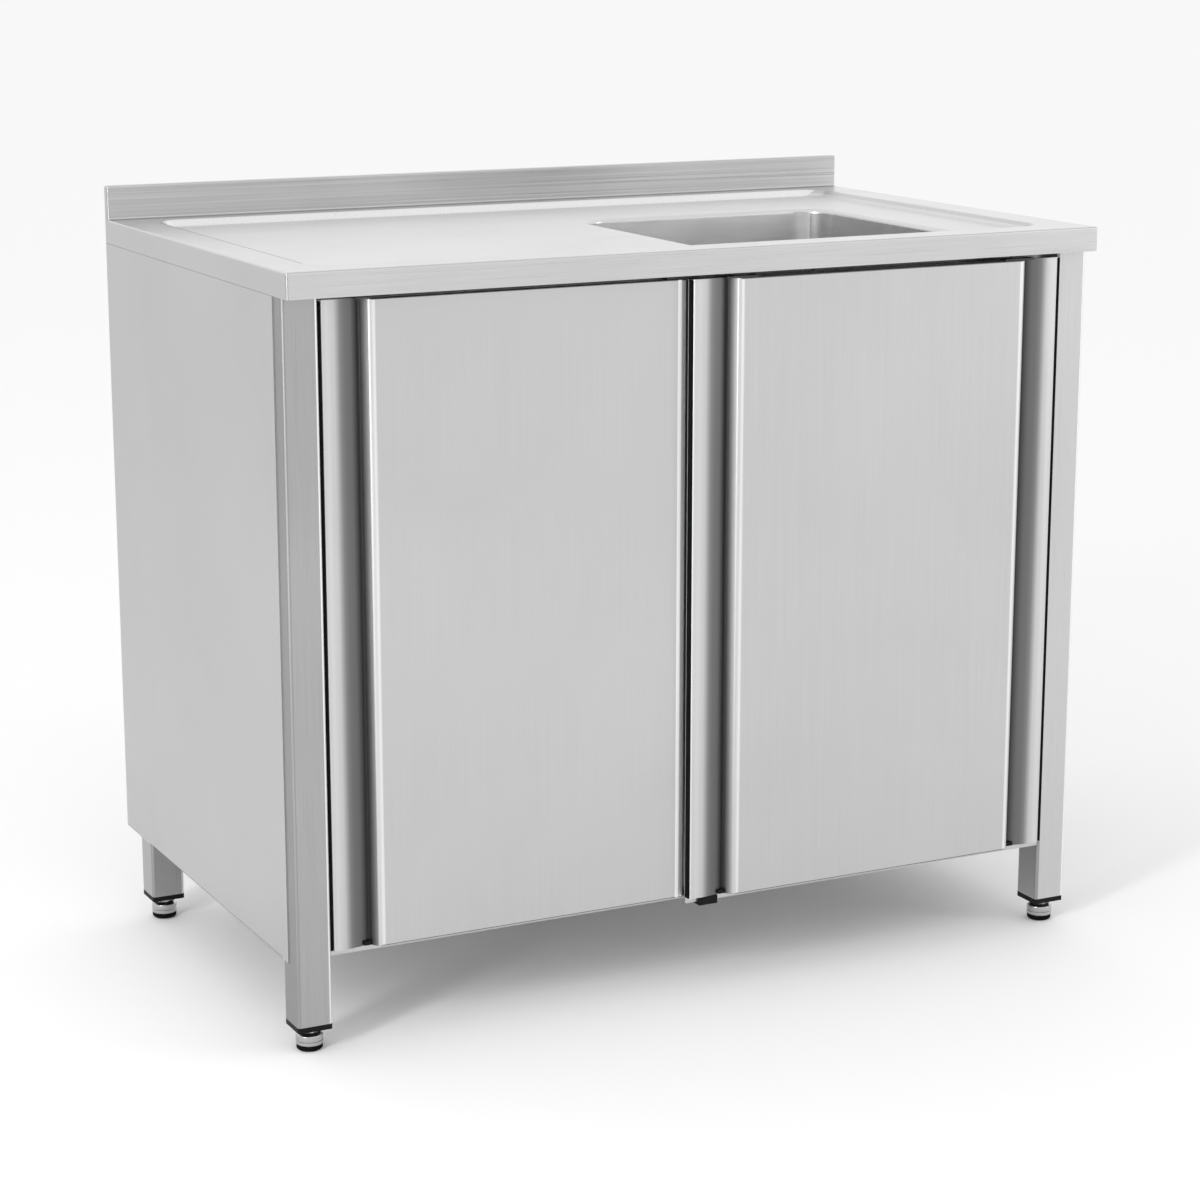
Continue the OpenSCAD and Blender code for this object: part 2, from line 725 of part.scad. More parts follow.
module rear_rail() {
    color("silver") flat_tube([-opening_x, leg_rear_y - rail_w, rail_bottom],
        [opening_x, leg_rear_y, rail_top], 0);
}

module side_rail() {
    color("silver") flat_tube([-leg_x, leg_front_y + leg, rail_bottom],
        [-leg_x + rail_w, leg_rear_y - leg, rail_top], 1);
}

// Track for one door: a channel that is open below, with a lip on each side of its slot
module track(door_y) {
    w = track_w / 2;
    s = slot_w / 2;
    h = under_z - track_bottom;
    p = [[s, 0], [w, 0], [w, h], [-w, h], [-w, 0], [-s, 0]];
    color("darkgray") translate([-opening_x, door_y + door_t / 2, track_bottom])
        rotate([90, 0, 90]) linear_extrude(2 * opening_x) polygon(folded(p, track_wall));
}

module track_buffers() {
    w = track_w - 2 * track_wall - 2 * running;
    low = track_bottom + track_wall;
    color("black") for (y = [front_door_y, rear_door_y], x_sign = [0, 1])
        mirror([x_sign, 0, 0])
            span([buffer_x, y + door_t / 2 - w / 2, low],
                [buffer_x + buffer_l, y + door_t / 2 + w / 2, under_z - track_wall]);
}

// Block under the middle of the doors, with a groove for each door's tongue
module bottom_guide() {
    tongue_y = [for (y = [front_door_y, rear_door_y]) y + door_t - tongue_t / 2];
    groove = tongue_t + 2 * guide_gap;
    color("black") difference() {
        union() {
            span([-guide_l / 2, tongue_y[0] - groove / 2 - 3.5, guide_bottom],
                [guide_l / 2, shelf_front_y, guide_top]);
            span([-guide_l / 2, shelf_front_y - guide_plate_t, guide_bottom],
                [guide_l / 2, shelf_front_y, guide_top + 16]);
        }
        for (y = tongue_y)
            span([-guide_l / 2 - cut, y - groove / 2, guide_bottom + guide_floor - 0.7],
                [guide_l / 2 + cut, y + groove / 2, guide_top + cut]);
    }
}

module guide_screws() {
    color("silver") for (x_sign = [-1, 1])
        translate([x_sign * guide_l / 4, shelf_front_y + sheet, guide_top + 9]) rotate([-90, 0, 0])
            cylinder(r = 3, h = 2);
}

// Outer face of a door from above, from one rear edge round the front to the other
function skin_path() =
    let (a = lip_w, b = lip_w + groove_w, v = b - groove_side, r = door_t - back_t)
    [[0, r], [0, lip_set], [a, lip_set], [v, groove_depth], [b, 0],
        [door_w - b, 0], [door_w - v, groove_depth], [door_w - a, lip_set],
        [door_w, lip_set], [door_w, r]];

module door_skin() {
    color("gainsboro") translate([0, 0, door_bottom]) linear_extrude(door_top - door_bottom)
        polygon(folded(skin_path(), door_sheet));
}

// Inside of the skin, which the rear pan's flanges fill
function pan_path() =
    let (p = skin_path()) [for (i = [0:len(p) - 1]) p[i] + door_sheet * fold_shift(p, i)];

module door_back() {
    color("lightgray") {
        span([0, door_t - back_t, door_bottom], [door_w, door_t, door_top]);
        span([0, door_t - tongue_t, door_bottom - tongue_h], [door_w, door_t, door_bottom]);
        for (z = [door_bottom, door_top - door_sheet])
            translate([0, 0, z]) linear_extrude(door_sheet) polygon(pan_path());
    }
}

module door_core() {
    b = lip_w + groove_w + 2 * door_sheet;
    color("burlywood") span([b, door_sheet + 0.1, door_bottom + door_sheet + 0.2],
        [door_w - b, door_t - back_t - 0.1, door_top - door_sheet - 0.2]);
}

module door_hangers() {
    color("silver") for (x = [hanger_in, door_w - hanger_in])
        translate([x, door_t / 2, door_top]) difference() {
            union() {
                span([-hanger_l / 2, 2 - door_t / 2, 0], [hanger_l / 2, door_t / 2 - 2, plate_t]);
                span([-stem_w / 2, -stem_t / 2, 0], [stem_w / 2, stem_t / 2, stem_top - door_top]);
            }
            translate([0, stem_t, axle_z - door_top]) rotate([90, 0, 0])
                cylinder(r = axle_d / 2 + running, h = 2 * stem_t);
        }
}

// Two wheels on one axle, one on each side of the hanger's stem
module door_wheel(x) {
    inner = stem_t / 2 + wheel_gap;
    r = wheel_d / 2;
    color("whitesmoke") translate([x, door_t / 2, axle_z]) rotate([90, 0, 0]) rotate_extrude()
        polygon([[0, -inner - wheel_w], [r - 0.5, -inner - wheel_w], [r, -inner - wheel_w + 0.5],
            [r, -inner], [axle_d / 2, -inner], [axle_d / 2, inner], [r, inner],
            [r, inner + wheel_w - 0.5], [r - 0.5, inner + wheel_w], [0, inner + wheel_w]]);
}

worktop();
underlay_board();
sink_bowl();
overflow_cover();
overflow_elbow();
overflow_pipe();
strainer_dish();
basket_strainer();
strainer_seal();
waste_gasket();
waste_body();
waste_screw();
tail_pipe();
trap_nuts();
trap_body();
trap_cup();
outlet_pipe();
square_leg(-1, -1);  // leg_front_left
square_leg(1, -1);  // leg_front_right
square_leg(-1, 1);  // leg_rear_left
square_leg(1, 1);  // leg_rear_right
leg_cap(-1, -1);  // cap_front_left
leg_cap(1, -1);  // cap_front_right
leg_cap(-1, 1);  // cap_rear_left
leg_cap(1, 1);  // cap_rear_right
foot(-1, -1);  // foot_front_left
foot(1, -1);  // foot_front_right
foot(-1, 1);  // foot_rear_left
foot(1, 1);  // foot_rear_right
pad(-1, -1);  // pad_front_left
pad(1, -1);  // pad_front_right
pad(-1, 1);  // pad_rear_left
pad(1, 1);  // pad_rear_right
side_panel();  // side_panel_left
mirror([1, 0, 0]) side_panel();  // side_panel_right
back_panel();
back_panel_screws();
base_shelf();
shelf_beam();
front_rail();
rear_rail();
side_rail();  // side_rail_left
mirror([1, 0, 0]) side_rail();  // side_rail_right
track(front_door_y);  // front_track
track(rear_door_y);  // rear_track
track_buffers();
bottom_guide();
guide_screws();
translate([front_door_x, front_door_y, 0]) door_skin();  // front_door_skin
translate([front_door_x, front_door_y, 0]) door_back();  // front_door_back
translate([front_door_x, front_door_y, 0]) door_core();  // front_door_core
translate([front_door_x, front_door_y, 0]) door_hangers();  // front_door_hangers
translate([front_door_x, front_door_y, 0]) door_wheel(hanger_in);  // front_door_wheel_left
translate([front_door_x, front_door_y, 0]) door_wheel(door_w - hanger_in);  // front_door_wheel_right
translate([rear_door_x, rear_door_y, 0]) door_skin();  // rear_door_skin
translate([rear_door_x, rear_door_y, 0]) door_back();  // rear_door_back
translate([rear_door_x, rear_door_y, 0]) door_core();  // rear_door_core
translate([rear_door_x, rear_door_y, 0]) door_hangers();  // rear_door_hangers
translate([rear_door_x, rear_door_y, 0]) door_wheel(hanger_in);  // rear_door_wheel_left
translate([rear_door_x, rear_door_y, 0]) door_wheel(door_w - hanger_in);  // rear_door_wheel_right
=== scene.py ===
import json
import math
import bpy
import bmesh
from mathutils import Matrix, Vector

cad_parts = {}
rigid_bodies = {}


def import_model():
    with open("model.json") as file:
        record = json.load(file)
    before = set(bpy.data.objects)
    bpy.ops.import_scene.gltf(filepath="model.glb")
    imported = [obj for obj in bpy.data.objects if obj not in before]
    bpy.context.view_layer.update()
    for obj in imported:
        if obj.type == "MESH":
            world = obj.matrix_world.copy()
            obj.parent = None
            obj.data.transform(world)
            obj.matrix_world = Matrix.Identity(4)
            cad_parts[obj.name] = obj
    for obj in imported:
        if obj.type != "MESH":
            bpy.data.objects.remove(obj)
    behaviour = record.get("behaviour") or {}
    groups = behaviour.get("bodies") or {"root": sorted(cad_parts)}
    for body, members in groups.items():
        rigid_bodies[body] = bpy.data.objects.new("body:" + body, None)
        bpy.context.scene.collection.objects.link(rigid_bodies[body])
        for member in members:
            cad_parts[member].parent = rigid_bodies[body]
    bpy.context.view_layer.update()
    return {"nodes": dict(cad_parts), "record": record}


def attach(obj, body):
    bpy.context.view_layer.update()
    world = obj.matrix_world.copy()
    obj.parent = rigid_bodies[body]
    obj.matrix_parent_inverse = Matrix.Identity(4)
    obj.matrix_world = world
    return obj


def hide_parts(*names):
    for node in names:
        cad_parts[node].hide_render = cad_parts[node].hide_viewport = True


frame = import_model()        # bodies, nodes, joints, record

# modelling helpers, each one a step as done by hand

samePlace = 0.00005      # places closer than this are one place
weldWithin = 0.00001     # corners closer than this are merged
sharpAngle = 30          # degrees; an edge that turns more is sharp
smoothAngle = 32         # degrees; edges that turn less are shaded smooth

# least share of a face's normal on one axis
flat = 0.98              # face square to the axis
nearlyFlat = 0.9         # the same, with the first face of a bend
facing = 0.6             # face that mainly looks along the axis
sloping = 0.2            # face that leans that way
turning = 0.15           # face inside a bend
along = 0.3              # a face with less than this stands along the axis


def near(first, second):
    return abs(first - second) < samePlace


def leaveEdit():
    if bpy.context.object and bpy.context.object.mode == "EDIT":
        bpy.ops.object.mode_set(mode="OBJECT")


def selectOnly(*pieces):
    leaveEdit()
    bpy.ops.object.select_all(action="DESELECT")
    for piece in pieces:
        piece.select_set(True)
    if pieces:
        bpy.context.view_layer.objects.active = pieces[0]


def editAll(piece):
    selectOnly(piece)
    bpy.ops.object.mode_set(mode="EDIT")
    bpy.ops.mesh.select_all(action="SELECT")


def named(name):
    piece = bpy.context.object
    piece.name = name
    piece.data.name = name
    bpy.ops.object.transform_apply(location=True, rotation=True, scale=True)
    return piece


def middleAndSize(low, high):
    return [(a + b) / 2 for a, b in zip(low, high)], [b - a for a, b in zip(low, high)]


def addBlock(name, low, high):
    selectOnly()
    middle, size = middleAndSize(low, high)
    bpy.ops.mesh.primitive_cube_add(size=1, location=middle, scale=size)
    return named(name)


# flat sheet facing the axis on which low and high agree
def addSheet(name, low, high):
    selectOnly()
    middle, size = middleAndSize(low, high)
    turn, scale = [((0, math.pi / 2, 0), (size[2], size[1], 1)),
                   ((math.pi / 2, 0, 0), (size[0], size[2], 1)),
                   ((0, 0, 0), (size[0], size[1], 1))][size.index(min(size, key=abs))]
    bpy.ops.mesh.primitive_plane_add(size=1, location=middle, rotation=turn)
    bpy.context.object.scale = scale
    return named(name)


def addRod(name, start, end, radius, sides):
    selectOnly()
    start, end = Vector(start), Vector(end)
    way = end - start
    bpy.ops.mesh.primitive_cylinder_add(vertices=sides, radius=radius, depth=way.length,
                                        location=(start + end) / 2,
                                        rotation=way.to_track_quat("Z", "Y").to_euler())
    return named(name)


def choose(kind, test):
    if bpy.context.object.mode != "EDIT":
        bpy.ops.object.mode_set(mode="EDIT")
    bpy.ops.mesh.select_mode(type=kind)
    bpy.ops.mesh.select_all(action="DESELECT")
    shape = bmesh.from_edit_mesh(bpy.context.object.data)
    items = {"VERT": shape.verts, "EDGE": shape.edges, "FACE": shape.faces}[kind]
    for item in items:
        if test(item):
            item.select_set(True)
    bmesh.update_edit_mesh(bpy.context.object.data)


def chooseAll(kind):
    choose(kind, lambda item: True)


def middleOf(item):
    if hasattr(item, "calc_center_median"):
        return item.calc_center_median()
    return (item.verts[0].co + item.verts[1].co) / 2


def isUpright(edge):
    return not near(edge.verts[0].co.z, edge.verts[1].co.z)


def isSharp(edge, degrees=sharpAngle):
    return len(edge.link_faces) == 2 and edge.calc_face_angle(0) > math.radians(degrees)


def pull(x=0.0, y=0.0, z=0.0):
    bpy.ops.mesh.extrude_region_move(TRANSFORM_OT_translate={"value": (x, y, z)})


def roundEdges(width, steps):
    bpy.ops.mesh.bevel(offset=width, segments=steps, profile=0.5, affect="EDGES",
                       clamp_overlap=True)


def roundSharp(width, steps, degrees=sharpAngle):
    choose("EDGE", lambda edge: isSharp(edge, degrees))
    roundEdges(width, steps)


def roundCorners(width, steps):
    chooseAll("VERT")
    bpy.ops.mesh.bevel(offset=width, segments=steps, profile=0.5, affect="VERTICES")


# cuts the whole piece by an upright plane at x or at y
def cutAcross(x=None, y=None):
    bpy.ops.mesh.select_all(action="SELECT")
    bpy.ops.mesh.bisect(plane_co=(x or 0, y or 0, 0),
                        plane_no=(float(x is not None), float(y is not None), 0))


def modify(piece, kind, **settings):
    selectOnly(piece)
    bpy.ops.object.modifier_add(type=kind)
    modifier = piece.modifiers[-1]
    for key, value in settings.items():
        setattr(modifier, key, value)
    bpy.ops.object.modifier_apply(modifier=modifier.name)


def thicken(piece, wall):
    modify(piece, "SOLIDIFY", thickness=wall, offset=-1, use_even_offset=True)


def carve(piece, *cutters):
    for cutter in cutters:
        modify(piece, "BOOLEAN", operation="DIFFERENCE", solver="EXACT", object=cutter)
        bpy.data.objects.remove(cutter)


def joinPieces(*pieces):
    selectOnly(*pieces)
    bpy.ops.object.join()
    return bpy.context.object


def faceOut(piece):
    editAll(piece)
    bpy.ops.mesh.remove_doubles(threshold=weldWithin)
    bpy.ops.mesh.normals_make_consistent(inside=False)
    leaveEdit()


def flipFaces(piece):
    editAll(piece)
    bpy.ops.mesh.flip_normals()
    leaveEdit()


# turns a sheet over where most of its area doesn't look along way
def faceToward(piece, way):
    if sum(face.area * face.normal.dot(Vector(way)) for face in piece.data.polygons) < 0:
        flipFaces(piece)


# body turned about the upright axis: rings of (radius, height), from one end to the other
def turned(name, rings, sides=48):
    selectOnly()
    radius, height = rings[0]
    bpy.ops.mesh.primitive_circle_add(vertices=sides, radius=radius, location=(0, 0, height),
                                      fill_type="NGON")
    piece = named(name)
    chooseAll("FACE")
    for nextRadius, nextHeight in rings[1:]:
        pull(z=nextHeight - height)
        growth = nextRadius / radius
        bpy.ops.transform.resize(value=(growth, growth, 1), center_override=(0, 0, nextHeight))
        radius, height = nextRadius, nextHeight
    faceOut(piece)
    return piece


def duplicate(piece):
    selectOnly(piece)
    bpy.ops.object.duplicate(linked=False)
    return bpy.context.object


def copyPiece(piece, name, shift):
    duplicate(piece).location = shift
    return named(name)


def mirrorPiece(piece, name):
    duplicate(piece).scale = (-1, 1, 1)
    twin = named(name)
    flipFaces(twin)
    return twin


# copy of a CAD node with merged corners and soft edges
def softenedCopy(nodeName, name, width):
    duplicate(frame["nodes"][nodeName])
    bpy.ops.object.parent_clear(type="CLEAR_KEEP_TRANSFORM")
    twin = named(name)
    editAll(twin)
    bpy.ops.mesh.customdata_custom_splitnormals_clear()
    bpy.ops.mesh.remove_doubles(threshold=weldWithin)
    bpy.ops.mesh.dissolve_limited(angle_limit=math.radians(0.5))
    leaveEdit()
    modify(twin, "BEVEL", width=width, segments=2, limit_method="ANGLE",
           angle_limit=math.radians(35), use_clamp_overlap=True)
    return twin


# look is the finish where it isn't the slot's own; looks lists further finishes, each with the
# test that picks its faces
def finishPiece(piece, body, slot, nodes=(), look=None, looks=()):
    selectOnly(piece)
    bpy.ops.object.shade_smooth_by_angle(angle=math.radians(smoothAngle))
    modify(piece, "WEIGHTED_NORMAL", keep_sharp=True, weight=80)
    piece.data.materials.clear()
    piece.data.materials.append(finishes[look or slot])
    for number, (finish, test) in enumerate(looks, 1):
        piece.data.materials.append(finishes[finish])
        for face in piece.data.polygons:
            if test(face):
                face.material_index = number
    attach(piece, body)
    if nodes:
        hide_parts(*nodes)
    print("piece", piece.name, len(piece.data.polygons))


# shader helpers and the effects that several finishes share

noiseSpan = (0.3, 0.7)   # where most values of a noise lie


def addNode(tree, kind, **values):
    node = tree.nodes.new(kind)
    for key, value in values.items():
        setattr(node, key, value)
    return node


def setInputs(node, **values):
    for key, value in values.items():
        node.inputs[key.replace("_", " ")].default_value = value
    return node


# links an output to a socket, or sets the socket to a number or a colour
def feed(tree, value, socket):
    if hasattr(value, "links"):
        tree.links.new(value, socket)
    elif socket.type == "RGBA":
        socket.default_value = (*value, 1.0)
    else:
        socket.default_value = value


def mathNode(tree, operation, first, second=0.0):
    node = addNode(tree, "ShaderNodeMath", operation=operation)
    feed(tree, first, node.inputs[0])
    feed(tree, second, node.inputs[1])
    return node.outputs[0]


def rangeNode(tree, value, low, high, newLow, newHigh):
    node = addNode(tree, "ShaderNodeMapRange")
    for label, amount in (("Value", value), ("From Min", low), ("From Max", high),
                          ("To Min", newLow), ("To Max", newHigh)):
        feed(tree, amount, node.inputs[label])
    return node.outputs["Result"]


def mixColours(tree, factor, first, second, blend="MIX"):
    node = addNode(tree, "ShaderNodeMix", data_type="RGBA", blend_type=blend)
    feed(tree, factor, node.inputs["Factor"])
    for socket, value in zip([s for s in node.inputs if s.type == "RGBA"], (first, second)):
        feed(tree, value, socket)
    return [s for s in node.outputs if s.type == "RGBA"][0]


def addTexture(tree, kind, vector, scale, **values):
    node = setInputs(addNode(tree, "ShaderNodeTex" + kind), **values)
    feed(tree, vector, node.inputs["Vector"])
    feed(tree, scale, node.inputs["Scale"])
    return node


# group that reads a vector and the given numbers, and puts out numbers
def newGroup(name, numbers, outputs):
    group = bpy.data.node_groups.new(name, "ShaderNodeTree")
    group.interface.new_socket(name="Vector", in_out="INPUT", socket_type="NodeSocketVector")
    for label, value in numbers.items():
        group.interface.new_socket(name=label, in_out="INPUT",
                                   socket_type="NodeSocketFloat").default_value = value
    for label in outputs:
        group.interface.new_socket(name=label, in_out="OUTPUT", socket_type="NodeSocketFloat")
    return group, group.nodes.new("NodeGroupInput"), group.nodes.new("NodeGroupOutput")


# fine lines that run along X of the vector, and clouds that change the tone slowly
def makeGrain():
    group, start, end = newGroup("brushedGrain", {"Fineness": 700.0, "Length": 5.0},
                                 ["Lines", "Clouds"])
    shape = addNode(group, "ShaderNodeCombineXYZ")
    for axis, label in (("X", "Length"), ("Y", "Fineness"), ("Z", "Fineness")):
        feed(group, start.outputs[label], shape.inputs[axis])
    stretch = addNode(group, "ShaderNodeVectorMath", operation="MULTIPLY")
    feed(group, start.outputs["Vector"], stretch.inputs[0])
    feed(group, shape.outputs[0], stretch.inputs[1])
    lines = addTexture(group, "Noise", stretch.outputs[0], 1.0, Detail=4.0, Roughness=0.7)
    clouds = addTexture(group, "Noise", start.outputs["Vector"], 3.5, Detail=2.0, Roughness=0.5)
    feed(group, lines.outputs["Fac"], end.inputs["Lines"])
    feed(group, clouds.outputs["Fac"], end.inputs["Clouds"])
    return group


smudgeLook = {"patchSpan": (0.52, 0.74), "spotScale": 120.0, "spotLeast": 0.55}


# faint smudges from hands and cloths: broad wiped arcs broken up by small spots
def makeSmudges():
    s = smudgeLook
    group, start, end = newGroup("handlingMarks", {"Scale": 9.0, "Amount": 0.5}, ["Mask"])
    vector = start.outputs["Vector"]
    broad = addTexture(group, "Noise", vector, start.outputs["Scale"], Detail=3.0,
                       Roughness=0.55, Distortion=0.8)
    small = addTexture(group, "Noise", vector, s["spotScale"], Detail=2.0, Roughness=0.6)
    patch = rangeNode(group, broad.outputs["Fac"], *s["patchSpan"], 0.0, 1.0)
    speck = rangeNode(group, small.outputs["Fac"], *noiseSpan, s["spotLeast"], 1.0)
    both = mathNode(group, "MULTIPLY", patch, speck)
    feed(group, mathNode(group, "MULTIPLY", both, start.outputs["Amount"]), end.inputs["Mask"])
    return group


dropLook = {"ringRadius": 0.13, "ringWidth": 0.04, "placeScale": 7.0, "placeSpan": (0.5, 0.62)}


# dried drops: small rings, only in some places
def makeWaterSpots():
    s = dropLook
    group, start, end = newGroup("waterSpots", {"Scale": 26.0, "Amount": 0.5}, ["Mask"])
    vector = start.outputs["Vector"]
    cells = addTexture(group, "Voronoi", vector, start.outputs["Scale"], Randomness=1.0)
    away = mathNode(group, "SUBTRACT", cells.outputs["Distance"], s["ringRadius"])
    ring = rangeNode(group, mathNode(group, "ABSOLUTE", away), 0.0, s["ringWidth"], 1.0, 0.0)
    places = addTexture(group, "Noise", vector, s["placeScale"], Detail=1.0)
    where = rangeNode(group, places.outputs["Fac"], *s["placeSpan"], 0.0, 1.0)
    both = mathNode(group, "MULTIPLY", ring, where)
    feed(group, mathNode(group, "MULTIPLY", both, start.outputs["Amount"]), end.inputs["Mask"])
    return group


# small grains for moulded plastic, rubber and board
def makeGrit():
    group, start, end = newGroup("fineGrit", {"Scale": 900.0}, ["Grains", "Patches"])
    vector = start.outputs["Vector"]
    grains = addTexture(group, "Noise", vector, start.outputs["Scale"], Detail=3.0, Roughness=0.6)
    patches = addTexture(group, "Noise", vector, 14.0, Detail=2.0)
    feed(group, grains.outputs["Fac"], end.inputs["Grains"])
    feed(group, patches.outputs["Fac"], end.inputs["Patches"])
    return group


brushedGrain = makeGrain()
handlingMarks = makeSmudges()
waterSpots = makeWaterSpots()
fineGrit = makeGrit()
print("effects made")

# finishes


def placeGroup(tree, group, vector, **values):
    node = addNode(tree, "ShaderNodeGroup", node_tree=group)
    feed(tree, vector, node.inputs["Vector"])
    return setInputs(node, **values)


def startMaterial(name):
    material = bpy.data.materials.new(name)
    material.use_nodes = True
    tree = material.node_tree
    place = addNode(tree, "ShaderNodeTexCoord")
    return material, tree, tree.nodes["Principled BSDF"], place.outputs["Object"]


def addBump(tree, surface, height, strength, distance):
    bump = setInputs(addNode(tree, "ShaderNodeBump"), Strength=strength, Distance=distance)
    feed(tree, height, bump.inputs["Height"])
    feed(tree, bump.outputs["Normal"], surface.inputs["Normal"])


def grey(level):
    return (level, level, level)


steelLook = {
    "lineShare": 0.6, "cloudShare": 0.4, "smudgeScale": 6.0, "dropScale": 30.0,
    "dullShare": 0.35, "dullTone": 0.86, "dullRough": 0.12,
    "roughBelow": 0.05, "roughAbove": 0.06, "bump": 0.35,
}


# brushed sheet: turn brings the direction of the brushing onto X
def makeSteel(name, light, dark, rough, turn=(0, 0, 0), fineness=700.0, length=5.0,
              lineHeight=0.00002, smudges=0.35, spots=0.0, metal=1.0):
    s = steelLook
    material, tree, surface, place = startMaterial(name)
    mapping = setInputs(addNode(tree, "ShaderNodeMapping"), Rotation=turn)
    feed(tree, place, mapping.inputs["Vector"])
    grain = placeGroup(tree, brushedGrain, mapping.outputs[0], Fineness=fineness, Length=length)
    lines, clouds = grain.outputs["Lines"], grain.outputs["Clouds"]
    tone = mathNode(tree, "ADD", mathNode(tree, "MULTIPLY", lines, s["lineShare"]),
                    mathNode(tree, "MULTIPLY", clouds, s["cloudShare"]))
    colour = mixColours(tree, rangeNode(tree, tone, *noiseSpan, 0.0, 1.0), dark, light)
    marks = placeGroup(tree, handlingMarks, place, Scale=s["smudgeScale"], Amount=smudges)
    dull = marks.outputs["Mask"]
    if spots:
        drops = placeGroup(tree, waterSpots, place, Scale=s["dropScale"], Amount=spots)
        dull = mathNode(tree, "MAXIMUM", dull, drops.outputs["Mask"])
    colour = mixColours(tree, mathNode(tree, "MULTIPLY", dull, s["dullShare"]), colour,
                        [s["dullTone"] * level for level in dark])
    feed(tree, colour, surface.inputs["Base Color"])
    gloss = rangeNode(tree, lines, *noiseSpan, rough - s["roughBelow"], rough + s["roughAbove"])
    gloss = mathNode(tree, "ADD", gloss, mathNode(tree, "MULTIPLY", dull, s["dullRough"]))
    feed(tree, gloss, surface.inputs["Roughness"])
    surface.inputs["Metallic"].default_value = metal
    addBump(tree, surface, lines, s["bump"], lineHeight)
    return material


plainLook = {
    "markScale": 22.0, "marks": 0.5, "markShare": 0.4, "markTone": 0.7, "markLift": 0.02,
    "roughSpread": 0.06, "bump": 0.4,
}


# moulded plastic and rubber
def makePlain(name, light, dark, rough, scale=900.0, height=0.00003, coat=0.0, shine=0.5):
    s = plainLook
    material, tree, surface, place = startMaterial(name)
    grit = placeGroup(tree, fineGrit, place, Scale=scale)
    tone = rangeNode(tree, grit.outputs["Patches"], *noiseSpan, 0.0, 1.0)
    colour = mixColours(tree, tone, dark, light)
    marks = placeGroup(tree, handlingMarks, place, Scale=s["markScale"], Amount=s["marks"])
    marked = mathNode(tree, "MULTIPLY", marks.outputs["Mask"], s["markShare"])
    colour = mixColours(tree, marked, colour,
                        [s["markTone"] * level + s["markLift"] for level in light])
    feed(tree, colour, surface.inputs["Base Color"])
    gloss = rangeNode(tree, grit.outputs["Grains"], *noiseSpan, rough - s["roughSpread"],
                      rough + s["roughSpread"])
    feed(tree, gloss, surface.inputs["Roughness"])
    surface.inputs["Coat Weight"].default_value = coat
    surface.inputs["Specular IOR Level"].default_value = shine
    addBump(tree, surface, grit.outputs["Grains"], s["bump"], height)
    return material


boardLook = {
    "chipScale": 260.0, "gritScale": 500.0, "gapSpan": (0.35, 0.8), "gapShare": 0.7,
    "gapTone": 0.4, "rough": (0.7, 0.9), "bump": 0.6, "chipHeight": 0.0002,
}


# pressed chips in glue: cells of slightly different colour with dark gaps
def makeBoard(name, light, dark):
    s = boardLook
    material, tree, surface, place = startMaterial(name)
    chips = addTexture(tree, "Voronoi", place, s["chipScale"], Randomness=1.0)
    shade = addNode(tree, "ShaderNodeRGBToBW")
    feed(tree, chips.outputs["Color"], shade.inputs["Color"])
    colour = mixColours(tree, shade.outputs[0], dark, light)
    gaps = rangeNode(tree, chips.outputs["Distance"], *s["gapSpan"], 0.0, s["gapShare"])
    colour = mixColours(tree, gaps, colour, [s["gapTone"] * level for level in dark])
    feed(tree, colour, surface.inputs["Base Color"])
    grit = placeGroup(tree, fineGrit, place, Scale=s["gritScale"])
    gloss = rangeNode(tree, grit.outputs["Grains"], *noiseSpan, *s["rough"])
    feed(tree, gloss, surface.inputs["Roughness"])
    addBump(tree, surface, shade.outputs[0], s["bump"], s["chipHeight"])
    return material


upright = (0, math.pi / 2, 0)        # turns an upright grain onto X
# painted tones along a door: painted shade in the finger grooves, painted highlights on the bends
paintedGrooveTones = [                     # distance from the door's end, tone of the steel
    (0.0, 0.80), (0.0018, 0.92), (0.0045, 0.62), (0.0100, 0.66), (0.0180, 0.56),
    (0.0215, 0.38), (0.0250, 0.23), (0.0300, 0.17), (0.0370, 0.15), (0.0430, 0.08),
    (0.0470, 0.03), (0.0485, 0.08), (0.0505, 0.22), (0.0530, 0.48), (0.0560, 0.62),
    (0.0575, 0.72), (0.0586, 0.84), (0.0602, 0.80), (0.0616, 0.57), (0.0660, 0.57),
]


# steel of a door with its middle at x and half its width: painted shade in the deep corner of
# each finger groove and painted highlights on the bends
def makePaintedGrooveSteel(name, middle, half):
    material = makeSteel(name, grey(1.0), grey(0.90), 0.34, turn=upright, fineness=650.0,
                         smudges=0.4)
    tree = material.node_tree
    base = tree.nodes["Principled BSDF"].inputs["Base Color"]
    place = addNode(tree, "ShaderNodeTexCoord")
    split = addNode(tree, "ShaderNodeSeparateXYZ")
    feed(tree, place.outputs["Object"], split.inputs[0])
    away = mathNode(tree, "ABSOLUTE", mathNode(tree, "SUBTRACT", split.outputs["X"], middle))
    reach = paintedGrooveTones[-1][0]
    shade = addNode(tree, "ShaderNodeValToRGB")
    feed(tree, rangeNode(tree, away, half, half - reach, 0.0, 1.0), shade.inputs["Fac"])
    stops = shade.color_ramp.elements
    for spot, level in paintedGrooveTones[1:-1]:
        stops.new(spot / reach)
    for stop, (spot, level) in zip(stops, paintedGrooveTones):
        stop.color = (*grey(level), 1.0)
    colour = mixColours(tree, 1.0, base.links[0].from_socket, shade.outputs["Color"], "MULTIPLY")
    feed(tree, colour, base)
    return material


